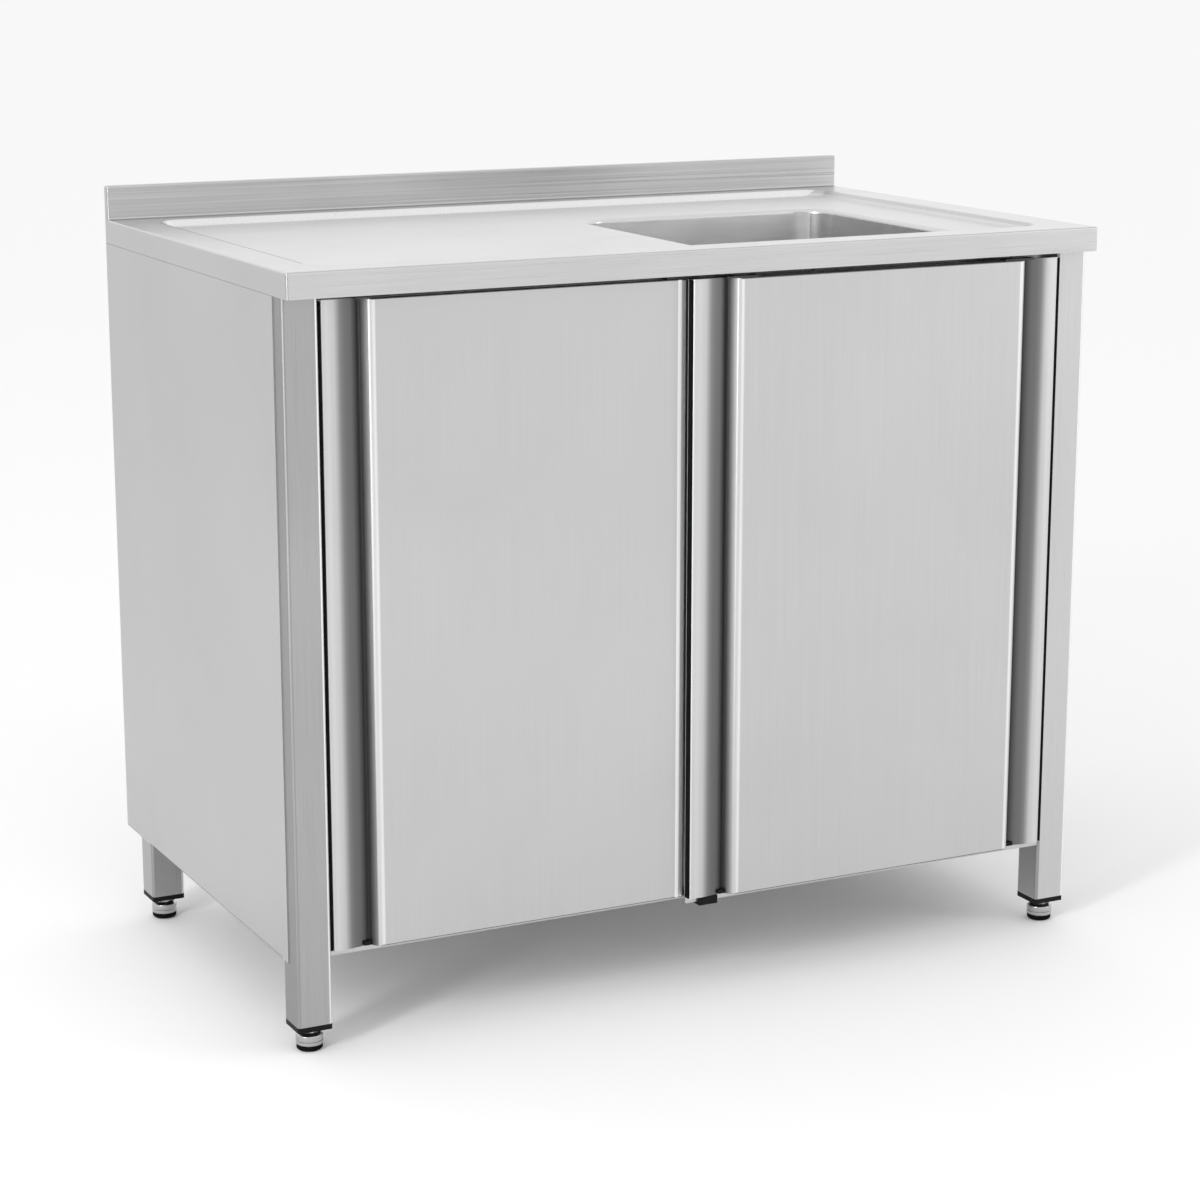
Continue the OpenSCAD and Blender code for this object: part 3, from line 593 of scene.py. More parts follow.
finishes = {
    "worktop_steel": makeSteel("worktopSteel", grey(0.62), grey(0.54), 0.29, fineness=500.0,
                               length=6.0, smudges=0.45, spots=0.5),
    "tray_steel": makeSteel("traySteel", grey(0.74), grey(0.66), 0.46, fineness=300.0,
                            length=4.0, smudges=0.45, spots=0.6),
    # the upstand's front: its streaks are brushing grain, its darker tone is painted shade
    "upstand_grain_and_painted_shade": makeSteel("upstandGrainAndPaintedShade", grey(0.62), grey(0.36), 0.30, fineness=420.0,
                               length=1.6, smudges=0.3),
    "bowl_steel": makeSteel("bowlSteel", grey(0.80), grey(0.74), 0.34, fineness=60.0,
                            length=9.0, lineHeight=0.000006, smudges=0.4, spots=0.6,
                            metal=0.85),
    # painted shade: darker steel for the bowl's side walls
    "bowl_side_painted_shade": makeSteel("bowlSidePaintedShade", grey(0.46), grey(0.38), 0.34, fineness=60.0,
                           length=9.0, lineHeight=0.000006, spots=0.5, metal=0.85),
    "panel_steel": makeSteel("panelSteel", grey(0.54), grey(0.48), 0.36, turn=upright,
                             fineness=600.0, smudges=0.3),
    "door_steel": makeSteel("doorSteel", grey(0.57), grey(0.51), 0.33, turn=upright,
                            fineness=650.0, smudges=0.4),
    "frame_steel": makeSteel("frameSteel", grey(0.44), grey(0.36), 0.30, turn=upright,
                             fineness=800.0, length=6.0, smudges=0.25),
    # painted light: a lighter copy of the frame steel for the leg that stands in the light
    "frame_painted_light": makeSteel("framePaintedLight", grey(0.60), grey(0.51), 0.30, turn=upright,
                             fineness=800.0, length=6.0, smudges=0.25),
    # painted highlight: near-white steel for faces where light would catch a bend, a slope or a
    # corner
    "painted_highlight": makeSteel("paintedHighlight", grey(0.90), grey(0.80), 0.30, turn=upright,
                             fineness=800.0, smudges=0.0),
    # painted shade: darker steel for the front left corners of the legs and the left face of one
    # leg
    "painted_leg_shade": makeSteel("paintedLegShade", grey(0.34), grey(0.28), 0.42, turn=upright,
                          fineness=800.0, smudges=0.0),
    # painted shade: dark steel for folds and for a crest where shade would fall
    "painted_shade_bend": makeSteel("paintedShadeBend", grey(0.22), grey(0.18), 0.42, turn=upright,
                          fineness=800.0, smudges=0.0),
    "foot_steel": makeSteel("footSteel", grey(0.50), grey(0.42), 0.20, fineness=900.0,
                            length=90.0, smudges=0.2),
    "polished_steel": makeSteel("polishedSteel", grey(0.82), grey(0.76), 0.14, fineness=900.0,
                                length=90.0, lineHeight=0.00001, smudges=0.3, spots=0.3),
    "zinc_steel": makeSteel("zincSteel", (0.68, 0.69, 0.70), (0.56, 0.57, 0.58), 0.32,
                            fineness=260.0, length=260.0, smudges=0.5),
    "dark_zinc": makeSteel("darkZinc", grey(0.10), grey(0.05), 0.50, fineness=260.0,
                           length=260.0, smudges=0.3),
    "underlay_board": makeBoard("underlayBoard", (0.46, 0.36, 0.24), (0.30, 0.23, 0.15)),
    "door_core": makeBoard("doorCore", (0.66, 0.54, 0.36), (0.48, 0.38, 0.25)),
    "white_plastic": makePlain("whitePlastic", (0.80, 0.80, 0.78), (0.74, 0.74, 0.71), 0.36,
                               coat=0.15),
    "black_plastic": makePlain("blackPlastic", grey(0.008), grey(0.005), 0.50, scale=1200.0,
                               shine=0.12),
    "black_rubber": makePlain("blackRubber", grey(0.006), grey(0.004), 0.72, scale=600.0,
                              height=0.00008, shine=0.03),
}
print("finishes made", len(finishes))

# every CAD node gets its slot's finish, as some of them stay in sight

for subpart in frame["record"]["subparts"]:
    node = frame["nodes"][subpart["node"]]
    node.data.materials.clear()
    node.data.materials.append(finishes[subpart["material_slot"]])

# worktop: one pressed sheet with a sunk tray, an upstand and a rolled bowl mouth

worktop = {
    "low": (-0.5, -0.3, 0.822), "high": (0.5, 0.3, 0.85), "sheet": 0.0012, "topArea": 0.3,
    "upstandFront": 0.288, "upstandHeight": 0.04, "edgeRadius": 0.0022, "edgeSteps": 4,
    "trayLow": (-0.455, -0.26), "trayHigh": (0.455, 0.26), "trayRadius": 0.03,
    "trayCorners": 12, "traySlope": 0.010, "trayDepth": 0.008, "traySteps": 8,
    # the first number below is where the painted shadow of the upstand on the rear rim begins;
    # crest and crestEnd bound the painted shade line along the tray's left crest
    "rimPaintedShadowFrom": 0.276, "crest": (-0.4562, -0.4522), "crestEnd": 0.23,
}
bowl = {
    "low": (0.025, -0.244), "high": (0.365, 0.106), "radius": 0.040, "cornerSteps": 12,
    "mouthRoll": 0.005, "mouthSteps": 6, "floor": 0.642, "floorRadius": 0.02, "floorSteps": 7,
    "sheet": 0.0012, "sideFrom": 0.652, "cutReach": 0.01,
    "wasteRadius": 0.045, "wasteSides": 64,
    "overflowPlace": (0.365, -0.148, 0.802), "overflowRadius": 0.012, "overflowSides": 48,
}


# ring that starts as a flat plate with round corners and is set in step by step
def pressedRing(name, low, high, height, radius, corners, steps):
    plate = addSheet(name, (*low, height), (*high, height))
    roundCorners(radius, corners)
    chooseAll("FACE")
    for inward, down in steps:
        bpy.ops.mesh.inset(thickness=inward, depth=-down, use_even_offset=True)
    bpy.ops.mesh.delete(type="FACE")
    return plate


# widths and drops of an S from flat to flat
def easedSteps(width, depth, count):
    marks = [i / count for i in range(count + 1)]
    drops = [depth * (0.5 - 0.5 * math.cos(math.pi * m)) for m in marks]
    return [(width / count, b - a) for a, b in zip(drops, drops[1:])]


# widths and drops of a quarter circle from flat to upright
def rolledSteps(radius, count):
    turns = [math.pi / 2 * i / count for i in range(count + 1)]
    return [(radius * (math.sin(b) - math.sin(a)), radius * (math.cos(a) - math.cos(b)))
            for a, b in zip(turns, turns[1:])]


# fills the space between the open edges at one height
def fillBetween(height):
    choose("EDGE", lambda edge: edge.is_boundary
           and all(near(v.co.z, height) for v in edge.verts))
    bpy.ops.mesh.fill(use_beauty=True)


def makeWorktop():
    w = worktop
    top = w["high"][2]
    trayFloor = top - w["trayDepth"]
    sheet = addBlock("worktopSheet", w["low"], w["high"])
    choose("FACE", lambda face: face.normal.z < -facing)
    bpy.ops.mesh.delete(type="FACE")
    cutAcross(y=w["upstandFront"])
    choose("FACE", lambda face: face.normal.z > facing and middleOf(face).y > w["upstandFront"])
    pull(z=w["upstandHeight"])
    roundSharp(w["edgeRadius"], w["edgeSteps"])
    choose("FACE", lambda face: face.normal.z > flat and face.calc_area() > w["topArea"])
    bpy.ops.mesh.delete(type="ONLY_FACE")
    tray = pressedRing("tray", w["trayLow"], w["trayHigh"], top, w["trayRadius"],
                       w["trayCorners"],
                       easedSteps(w["traySlope"], w["trayDepth"], w["traySteps"]))
    roll = bowl["mouthRoll"]
    mouth = pressedRing("mouth", [v - roll for v in bowl["low"]],
                        [v + roll for v in bowl["high"]], trayFloor, bowl["radius"] + roll,
                        bowl["cornerSteps"], rolledSteps(roll, bowl["mouthSteps"]))
    sheet = joinPieces(sheet, tray, mouth)
    fillBetween(top)
    fillBetween(trayFloor)
    faceOut(sheet)
    editAll(sheet)
    # cuts that bound the painted shadow on the rear rim and the painted shade line on the left
    # crest
    cutAcross(y=w["rimPaintedShadowFrom"])
    cutAcross(x=w["crest"][0])
    cutAcross(y=w["crestEnd"])
    cutAcross(y=-w["crestEnd"])
    leaveEdit()
    faceToward(sheet, (0, 0, 1))
    thicken(sheet, w["sheet"])

    # the upstand's front, with its grain and painted shade
    def onUpstand(face):
        return face.normal.y < -facing and face.center.y > w["rimPaintedShadowFrom"]

    def onTray(face):
        return (face.normal.z > facing and face.center.z < (top + trayFloor) / 2
                and abs(face.center.x) < w["trayHigh"][0])

    # painted shade: a dark line along the tray's left crest
    def onCrestPaintedShade(face):
        return (face.normal.z > facing and w["crest"][0] < face.center.x < w["crest"][1]
                and abs(face.center.y) < w["crestEnd"])

    # painted highlight on the tray's rear slope
    def onSlopePaintedHighlight(face):
        return (face.normal.y < -sloping and face.normal.z > sloping
                and w["trayHigh"][1] - w["traySlope"] < face.center.y < w["rimPaintedShadowFrom"])

    # painted shadow of the upstand: the rear rim takes the darker frame steel
    def onRimPaintedShadow(face):
        return face.normal.z > flat and w["rimPaintedShadowFrom"] < face.center.y < w["upstandFront"]

    def onLeftSide(face):
        return face.normal.x < -nearlyFlat and face.center.x < w["low"][0] + w["sheet"]

    # painted shade: the rounded front left corner takes the darker frame steel
    def onCornerPaintedShade(face):
        return (face.normal.x < -turning and face.normal.y < -turning
                and abs(face.normal.z) < along)

    finishPiece(sheet, "cabinet", "worktop_steel", ["worktop"],
                looks=[("upstand_grain_and_painted_shade", onUpstand), ("tray_steel", onTray),
                       ("painted_shade_bend", onCrestPaintedShade), ("painted_highlight", onSlopePaintedHighlight),
                       ("frame_steel", onRimPaintedShadow), ("panel_steel", onLeftSide),
                       ("frame_steel", onCornerPaintedShade)])


def makeBowl():
    b = bowl
    top = worktop["high"][2] - worktop["trayDepth"] - b["mouthRoll"]
    shell = addSheet("bowlShell", (*b["low"], top), (*b["high"], top))
    roundCorners(b["radius"], b["cornerSteps"])
    chooseAll("FACE")
    pull(z=b["floor"] - top)
    choose("FACE", lambda face: near(middleOf(face).z, top))
    bpy.ops.mesh.delete(type="ONLY_FACE")
    choose("EDGE", lambda edge: all(near(v.co.z, b["floor"]) for v in edge.verts))
    roundEdges(b["floorRadius"], b["floorSteps"])
    faceOut(shell)
    faceToward(shell, (0, 0, 1))
    thicken(shell, b["sheet"])
    reach = b["cutReach"]
    x, y = middleAndSize(b["low"], b["high"])[0]
    waste = addRod("wasteCut", (x, y, b["floor"] - reach), (x, y, b["floor"] + reach),
                   b["wasteRadius"], b["wasteSides"])
    x, y, z = b["overflowPlace"]
    overflow = addRod("overflowCut", (x - reach, y, z), (x + reach, y, z),
                      b["overflowRadius"], b["overflowSides"])
    carve(shell, waste, overflow)
    # the bowl's side walls take the painted shade finish
    finishPiece(shell, "cabinet", "bowl_steel", ["sink_bowl"],
                looks=[("bowl_side_painted_shade", lambda face: abs(face.normal.x) > facing
                        and face.center.z > b["sideFrom"])])


makeWorktop()
makeBowl()
print("worktop and bowl made")

# doors: one folded sheet each, with a lip and a finger groove at both ends; glint is a painted
# highlight, a bright line down the face of one door

doorSkin = {
    "bottom": 0.1097, "top": 0.8163, "width": 0.4838, "depth": 0.016, "lip": 0.022,
    "lipSet": 0.008, "groove": 0.033, "grooveSide": 0.008, "grooveDepth": 0.013,
    "sheet": 0.001, "bend": 0.0019, "bendSteps": 3, "bendAngle": 25, "bendShare": (0.25, 0.97),
    "softBend": 0.006, "softSteps": 5, "faceBend": 0.0032, "flange": 0.011,
    "glintDoor": "rear_door", "glint": (-0.0390, -0.0345),
}
edgeStrip = {"width": 0.0036, "innerWidth": 0.0020, "inset": 0.0006, "frontInset": 0.00018,
             "round": 0.0011, "roundShare": 0.4, "roundSteps": 4}
groovePlug = {"left": 0.0075, "right": 0.0012, "thick": 0.0044, "behind": 0.0002,
              "low": 0.0004, "high": 0.0052, "round": 0.0008, "roundSteps": 3}
doors = (      # skin, body, place of the front left corner, widths of the left and right strip
    ("frontDoorSkin", "front_door", (-0.028, -0.298), edgeStrip["innerWidth"],
     edgeStrip["width"]),
    ("rearDoorSkin", "rear_door", (-0.4558, -0.2785), edgeStrip["width"],
     edgeStrip["innerWidth"]),
)


# upright sheet that is folded along steps, seen from above; softAt and faceAt are the corners
# of the wider bends
def foldedSheet(name, start, steps, softAt, faceAt):
    d = doorSkin
    corner = [a + b for a, b in zip(start, steps[0])]
    sheet = addSheet(name, (*map(min, start, corner), d["bottom"]),
                     (*map(max, start, corner), d["top"]))
    at = Vector(corner)
    for step in steps[1:]:
        choose("EDGE", lambda edge: isUpright(edge)
               and (middleOf(edge).xy - at).length < samePlace)
        pull(x=step[0], y=step[1])
        at += Vector(step)
    middle = (faceAt[0][0] + faceAt[1][0]) / 2
    for height in (d["bottom"], d["top"]):
        choose("EDGE", lambda edge: near(middleOf(edge).z, height)
               and near(middleOf(edge).x, middle))
        pull(y=d["flange"])
    bpy.ops.mesh.select_all(action="SELECT")
    bpy.ops.mesh.normals_make_consistent(inside=False)
    for width, corners in ((d["softBend"], softAt), (d["faceBend"], faceAt)):
        choose("EDGE", lambda edge: len(edge.link_faces) == 2 and isUpright(edge)
               and any((middleOf(edge).xy - Vector(c)).length < samePlace for c in corners))
        roundEdges(width, d["softSteps"])
    roundSharp(d["bend"], d["bendSteps"], d["bendAngle"])
    leaveEdit()
    return sheet


def makeDoorSkin(name, body, place, trimLeft, trimRight):
    d = doorSkin
    x, y = place
    lip, side = d["lip"], d["grooveSide"]
    end = lip + d["groove"]
    slope = d["groove"] - side
    toLip, drop = d["depth"] - d["lipSet"], d["grooveDepth"] - d["lipSet"]
    steps = [(0, -toLip), (lip - trimLeft, 0), (slope, drop), (side, -d["grooveDepth"]),
             (d["width"] - 2 * end, 0),
             (side, d["grooveDepth"]), (slope, -drop), (lip - trimRight, 0), (0, toLip)]
    skin = foldedSheet(name, (x + trimLeft, y + d["depth"]), steps,
                       [(x + lip, y + d["lipSet"]), (x + d["width"] - lip, y + d["lipSet"])],
                       [(x + end, y), (x + d["width"] - end, y)])
    faceToward(skin, (0, -1, 0))
    # cuts that bound the glint strip for its painted highlight
    low, high = d["glint"]
    hasGlint = body == d["glintDoor"]
    if hasGlint:
        editAll(skin)
        cutAcross(x=low)
        cutAcross(x=high)
        leaveEdit()
    thicken(skin, d["sheet"])
    least, most = d["bendShare"]
    # the door's steel carries the painted groove shade and the painted bend highlights
    finishes[body] = makePaintedGrooveSteel(body + "Steel", x + d["width"] / 2, d["width"] / 2)
    # painted shade on the top and bottom folds, and a painted highlight on the glint strip
    finishPiece(skin, body, "door_steel", [body + "_skin"], look=body,
                looks=[("painted_shade_bend", lambda face: abs(face.normal.x) < along
                        and least < abs(face.normal.z) < most),
                       ("painted_highlight", lambda face: hasGlint and low < face.center.x < high
                        and face.normal.y < -nearlyFlat)])


# rubber strip on the end wall of a door; its black also stands in for the shade in the gap beside
# the door, as painted shade
def makeStrip(name, body, x, y, width):
    d, s = doorSkin, edgeStrip
    strip = addBlock(name, (x, y + d["lipSet"] + s["frontInset"], d["bottom"] + s["inset"]),
                     (x + width, y + d["depth"], d["top"] - s["inset"]))
    roundSharp(min(s["round"], width * s["roundShare"]), s["roundSteps"])
    leaveEdit()
    finishPiece(strip, body, "black_rubber")


# strips, and a plug at the foot of each groove
def makeDoorTrims():
    d, g = doorSkin, groovePlug
    left = addBlock("groovePlug",
                    (-g["left"], d["grooveDepth"] - g["thick"], d["bottom"] + g["low"]),
                    (g["right"], d["grooveDepth"] - g["behind"], d["bottom"] + g["high"]))
    roundSharp(g["round"], g["roundSteps"])
    leaveEdit()
    other = mirrorPiece(left, "groovePlugOther")
    deepest = d["lip"] + d["groove"] - d["grooveSide"]
    for name, body, (x, y), leftWidth, rightWidth in doors:
        makeStrip(body + "_strip_left", body, x, y, leftWidth)
        makeStrip(body + "_strip_right", body, x + d["width"] - rightWidth, y, rightWidth)
        for plug, ending, place in ((left, "_plug_left", x + deepest),
                                    (other, "_plug_other", x + d["width"] - deepest)):
            finishPiece(copyPiece(plug, body + ending, (place, y, 0)), body, "black_plastic")
    bpy.data.objects.remove(left)
    bpy.data.objects.remove(other)


for door in doors:
    makeDoorSkin(*door)
makeDoorTrims()
print("doors made")

# side panels: a sheet over the frame, with a rear flange and a notched lower one

sidePanel = {
    "x": -0.5, "front": -0.257, "rear": 0.3, "bottom": 0.1, "top": 0.8217, "flange": 0.014,
    "notches": (-0.2397, 0.2097, 0.2515), "bend": 0.002, "bendSteps": 4,
    "bendShare": (0.2, 0.99), "sheet": 0.0012,
}


def makeSidePanels():
    s = sidePanel
    panel = addSheet("sidePanelLeft", (s["x"], s["front"], s["bottom"]),
                     (s["x"], s["rear"], s["top"]))
    chooseAll("FACE")
    for y in s["notches"]:
        cutAcross(y=y)
    choose("EDGE", lambda edge: near(middleOf(edge).y, s["rear"]))
    pull(x=s["flange"])
    low, high, behind = s["notches"]
    choose("EDGE", lambda edge: edge.is_boundary and near(middleOf(edge).z, s["bottom"])
           and near(middleOf(edge).x, s["x"])
           and (low < middleOf(edge).y < high or middleOf(edge).y > behind))
    pull(x=s["flange"])
    faceOut(panel)
    roundSharp(s["bend"], s["bendSteps"])
    leaveEdit()
    faceToward(panel, (-1, 0, 0))
    thicken(panel, s["sheet"])
    twin = mirrorPiece(panel, "sidePanelRight")
    least, most = s["bendShare"]
    # painted shade: the bends of the panel take dark steel
    bends = [("painted_shade_bend", lambda face: least < abs(face.normal.x) < most)]
    finishPiece(panel, "cabinet", "panel_steel", ["side_panel_left"], looks=bends)
    finishPiece(twin, "cabinet", "panel_steel", ["side_panel_right"], looks=bends)


makeSidePanels()
print("side panels made")

# legs: square tube, modelled once

legTube = {
    "side": 0.04, "wall": 0.0015, "radius": 0.0035, "radiusSteps": 5, "bottom": 0.032,
    # the first leg named below carries painted light, the second painted shade on its left face
    "top": 0.8488, "paintedLitLeg": "front_right", "paintedShadeLeg": "front_left",
    "places": {"front_left": (-0.4788, -0.26), "front_right": (0.4788, -0.26),
               "rear_left": (-0.4788, 0.23), "rear_right": (0.4788, 0.23)},
}


def makeLegs():
    g = legTube
    half = g["side"] / 2
    tube = addBlock("legTube", (-half, -half, g["bottom"]), (half, half, g["top"]))
    choose("FACE", lambda face: abs(face.normal.z) > facing)
    bpy.ops.mesh.delete(type="ONLY_FACE")
    roundSharp(g["radius"], g["radiusSteps"])
    leaveEdit()
    thicken(tube, g["wall"])
    for corner, (x, y) in g["places"].items():
        leg = copyPiece(tube, "leg_tube_" + corner, (x, y, 0))
        # painted highlight on the front right corner of each leg, painted shade on its front left
        # corner and on the whole left face of the shaded leg
        finishPiece(leg, "cabinet", "frame_steel", ["leg_" + corner],
                    look="frame_painted_light" if corner == g["paintedLitLeg"] else "frame_steel",
                    looks=[("painted_highlight", lambda face: face.normal.x > turning
                            and face.normal.y < -turning),
                           ("painted_leg_shade", lambda face: face.normal.x < -turning
                            and (face.normal.y < -turning or corner == g["paintedShadeLeg"]))])
    bpy.data.objects.remove(tube)


makeLegs()
print("legs made")

# feet: turned body, hexagon neck and thread, modelled once

footBody = {
    "rings": [(0.0125, 0.006), (0.0142, 0.0064), (0.015, 0.0074), (0.015, 0.0110),
              (0.0144, 0.0114), (0.0144, 0.0122), (0.015, 0.0126), (0.015, 0.0172),
              (0.0146, 0.0182), (0.0122, 0.0204), (0.0114, 0.0208), (0.0060, 0.0208)],
    "padRings": [(0.0112, 0.0), (0.0120, 0.0002), (0.0138, 0.0016), (0.0144, 0.0026),
                 (0.0145, 0.0056), (0.0141, 0.0060), (0.0060, 0.0060)],
    "neckRadius": 0.0112, "neckLow": 0.0206, "neckHigh": 0.0257, "neckRound": 0.0006,
    "neckSteps": 3, "threadRadius": 0.0059, "threadRoot": 0.0052, "pitch": 0.00175,
    "crestShare": (0.45, 0.55), "threadStart": 0.0247, "threadTop": 0.0648, "threadSides": 28,
}


def makeFeet():
    f = footBody
    body = turned("footBody", f["rings"])
    selectOnly()
    bpy.ops.mesh.primitive_cylinder_add(
        vertices=6, radius=f["neckRadius"], depth=f["neckHigh"] - f["neckLow"],
        location=(0, 0, (f["neckLow"] + f["neckHigh"]) / 2))
    neck = named("footNeck")
    roundSharp(f["neckRound"], f["neckSteps"])
    leaveEdit()
    rings = [(f["threadRoot"], f["threadStart"])]
    for i in range(int((f["threadTop"] - f["neckHigh"]) / f["pitch"])):
        low = f["neckHigh"] + i * f["pitch"]
        rings += [(f["threadRadius"], low + f["pitch"] * share) for share in f["crestShare"]]
        rings.append((f["threadRoot"], low + f["pitch"]))
    body = joinPieces(body, neck, turned("footThread", rings, f["threadSides"]))
    pad = turned("footPad", f["padRings"])
    for corner, (x, y) in legTube["places"].items():
        piece = copyPiece(body, "foot_body_" + corner, (x, y, 0))
        finishPiece(piece, corner + "_foot", "polished_steel", ["foot_" + corner],
                    look="foot_steel")
        piece = copyPiece(pad, "foot_pad_" + corner, (x, y, 0))
        finishPiece(piece, corner + "_foot", "black_rubber", ["pad_" + corner])
    bpy.data.objects.remove(body)
    bpy.data.objects.remove(pad)


makeFeet()
print("feet made")

# screws of the back panel: pan heads with a cross recess

panScrew = {
    "rings": [(0.0020, -0.0088), (0.0020, 0.0), (0.0039, 0.0), (0.0040, 0.0004),
              (0.0039, 0.0012), (0.0034, 0.0019), (0.0024, 0.0023), (0.0010, 0.0024)],
    "sides": 28, "recess": 0.0042, "recessWidth": 0.0008, "recessDepth": 0.0013,
    "cutAbove": 0.001,
    "backY": 0.2512, "backX": (-0.4788, 0.4788), "backZ": (0.16, 0.3396, 0.5191, 0.6987),
}


def makeScrews():
    s = panScrew
    screw = turned("panScrew", s["rings"], s["sides"])
    top = s["rings"][-1][1]
    bars = []
    for length, width in ((s["recess"], s["recessWidth"]), (s["recessWidth"], s["recess"])):
        bars.append(addBlock("recess", (-length / 2, -width / 2, top - s["recessDepth"]),
                             (length / 2, width / 2, top + s["cutAbove"])))
    carve(screw, *bars)
    selectOnly(screw)
    screw.rotation_euler = (-math.pi / 2, 0, 0)
    named("panScrew")
    places = [(x, s["backY"], z) for x in s["backX"] for z in s["backZ"]]
    for number, place in enumerate(places, 1):
        piece = copyPiece(screw, "back_screw_%d" % number, place)
        finishPiece(piece, "cabinet", "zinc_steel", ["back_panel_screws"])
    bpy.data.objects.remove(screw)


makeScrews()
print("screws made")

# basket with holes in its wall, and nuts with finger grooves

basketHoles = {
    "middle": (0.195, -0.069), "heights": (0.6150, 0.6225, 0.6300), "around": 18,
    "near": 0.0310, "far": 0.0370, "radius": 0.0018, "sides": 16, "softEdge": 0.0002,
}
trapNuts = {       # each nut: start and end of its axis, radius
    "nuts": (((0.195, -0.069, 0.5630), (0.195, -0.069, 0.5800), 0.0235),
             ((0.195, -0.069, 0.5127), (0.195, -0.069, 0.5260), 0.0250),
             ((0.195, -0.0228, 0.4755), (0.195, -0.0095, 0.4755), 0.0280)),
    "grooves": 20, "grooveRadius": 0.0013, "grooveDepth": 0.0007, "sides": 12,
    "softEdge": 0.0004,
}


def makeBasket():
    s = basketHoles
    basket = softenedCopy("basket_strainer", "perforatedBasket", s["softEdge"])
    rods = []
    for row, height in enumerate(s["heights"]):
        middle = Vector((*s["middle"], height))
        for i in range(s["around"]):
            turn = 2 * math.pi * (i + 0.5 * (row % 2)) / s["around"]
            way = Vector((math.cos(turn), math.sin(turn), 0))
            rods.append(addRod("basketHole", middle + way * s["near"], middle + way * s["far"],
                               s["radius"], s["sides"]))
    carve(basket, joinPieces(*rods))
    finishPiece(basket, "basket", "polished_steel", ["basket_strainer"])


def makeNuts():
    s = trapNuts
    nuts = softenedCopy("trap_nuts", "groovedNuts", s["softEdge"])
    rods = []
    for start, end, radius in s["nuts"]:
        start, end = Vector(start), Vector(end)
        lie = (end - start).to_track_quat("Z", "Y")
        away = radius + s["grooveRadius"] - s["grooveDepth"]
        for i in range(s["grooves"]):
            turn = 2 * math.pi * i / s["grooves"]
            shift = lie @ Vector((away * math.cos(turn), away * math.sin(turn), 0))
            rods.append(addRod("nutGroove", start + shift, end + shift, s["grooveRadius"],
                               s["sides"]))
    carve(nuts, joinPieces(*rods))
    finishPiece(nuts, "cabinet", "white_plastic", ["trap_nuts"])


makeBasket()
makeNuts()
print("basket and nuts made")

# other parts: the CAD shape with merged corners, and with edges softened by these widths

softParts = {
    "overflow_cover": 0.0005, "strainer_dish": 0.0004, "waste_body": 0.0006,
    "tail_pipe": 0.0003, "trap_body": 0.0008, "trap_cup": 0.0008, "outlet_pipe": 0.0004,
    "cap_front_left": 0.0005, "cap_front_right": 0.0005, "cap_rear_left": 0.0005,
    "cap_rear_right": 0.0005, "back_panel": 0.0003, "base_shelf": 0.0003,
    "shelf_beam": 0.0003, "front_rail": 0.0004, "rear_rail": 0.0004,
    "side_rail_left": 0.0004, "side_rail_right": 0.0004, "front_track": 0.0003,
    "rear_track": 0.0003, "track_buffers": 0.0006, "bottom_guide": 0.0007,
    "front_door_hangers": 0.0004, "rear_door_hangers": 0.0004, "guide_screws": 0.0005,
    "front_door_wheel_left": 0.0004, "front_door_wheel_right": 0.0004,
    "rear_door_wheel_left": 0.0004, "rear_door_wheel_right": 0.0004,
    "front_door_back": 0.0002, "rear_door_back": 0.0002,
}


def makeSoftParts():
    record = frame["record"]
    slots = {s["node"]: s["material_slot"] for s in record["subparts"]}
    homes = {n: body for body, nodes in record["behaviour"]["bodies"].items() for n in nodes}
    for nodeName, width in softParts.items():
        piece = softenedCopy(nodeName, "soft_" + nodeName, width)
        finishPiece(piece, homes[nodeName], slots[nodeName], [nodeName],
                    look="dark_zinc" if "hangers" in nodeName else None)


makeSoftParts()
print("soft parts made")

# studio: pale floor, soft light, the photograph's viewpoint

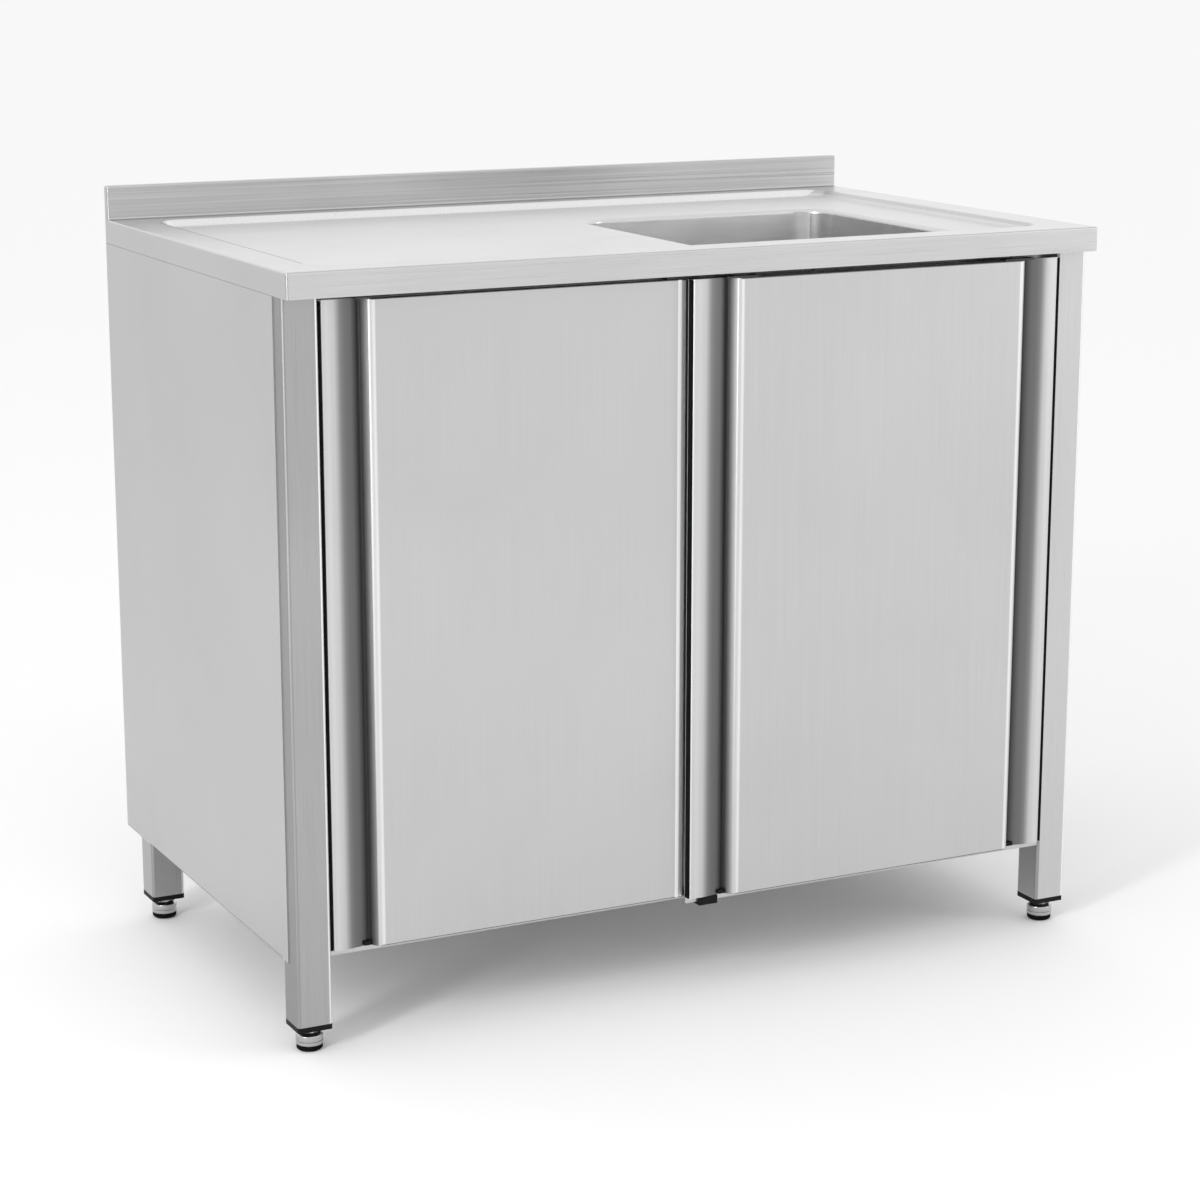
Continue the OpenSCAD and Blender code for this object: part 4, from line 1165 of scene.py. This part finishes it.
studio = {
    "floorSize": 240.0, "floorTone": 0.93, "floorRough": 0.8, "floorShine": 0.1,
    "skySide": 1.28, "skyTop": 0.90, "skyRise": 0.9,
    "cameraPlace": (-1.5646, -3.1203, 1.2071), "yaw": 0.4663, "pitch": 0.2281, "lens": 89.2,
    "sensor": 36.0, "farEnd": 200.0,
    "strips": (((-3.4, -2.0, 1.7), 70.0), ((3.2, -2.6, 1.6), 12.0)),
    "stripAim": (0.0, 0.0, 0.45), "stripSize": (0.5, 2.6),
}


def makeFloor():
    s = studio
    selectOnly()
    bpy.ops.mesh.primitive_plane_add(size=s["floorSize"], location=(0, 0, 0))
    floor = named("studioFloor")
    material, tree, surface, place = startMaterial("paleFloor")
    surface.inputs["Base Color"].default_value = (*grey(s["floorTone"]), 1.0)
    surface.inputs["Roughness"].default_value = s["floorRough"]
    surface.inputs["Specular IOR Level"].default_value = s["floorShine"]
    floor.data.materials.append(material)


# bright at the horizon, a little dimmer overhead
def makeSky():
    s = studio
    world = bpy.data.worlds.new("softWorld")
    bpy.context.scene.world = world
    world.use_nodes = True
    tree = world.node_tree
    place = addNode(tree, "ShaderNodeTexCoord")
    split = addNode(tree, "ShaderNodeSeparateXYZ")
    feed(tree, place.outputs["Generated"], split.inputs[0])
    level = rangeNode(tree, split.outputs["Z"], 0.0, s["skyRise"], s["skySide"], s["skyTop"])
    background = tree.nodes["Background"]
    feed(tree, level, background.inputs["Strength"])
    background.inputs["Color"].default_value = (1, 1, 1, 1)


def makeLights():
    s = studio
    for place, power in s["strips"]:
        way = Vector(s["stripAim"]) - Vector(place)
        bpy.ops.object.light_add(type="AREA", location=place,
                                 rotation=way.to_track_quat("-Z", "Y").to_euler())
        strip = bpy.context.object
        strip.data.shape = "RECTANGLE"
        strip.data.size, strip.data.size_y = s["stripSize"]
        strip.data.energy = power


def makeCamera():
    s = studio
    bpy.ops.object.camera_add(location=s["cameraPlace"],
                              rotation=(math.pi / 2 - s["pitch"], 0, -s["yaw"]))
    camera = bpy.context.object
    camera.data.lens = s["lens"]
    camera.data.sensor_width = s["sensor"]
    camera.data.clip_end = s["farEnd"]
    bpy.context.scene.camera = camera
    bpy.context.scene.view_settings.view_transform = "Standard"


makeFloor()
makeSky()
makeLights()
makeCamera()
print("studio made")
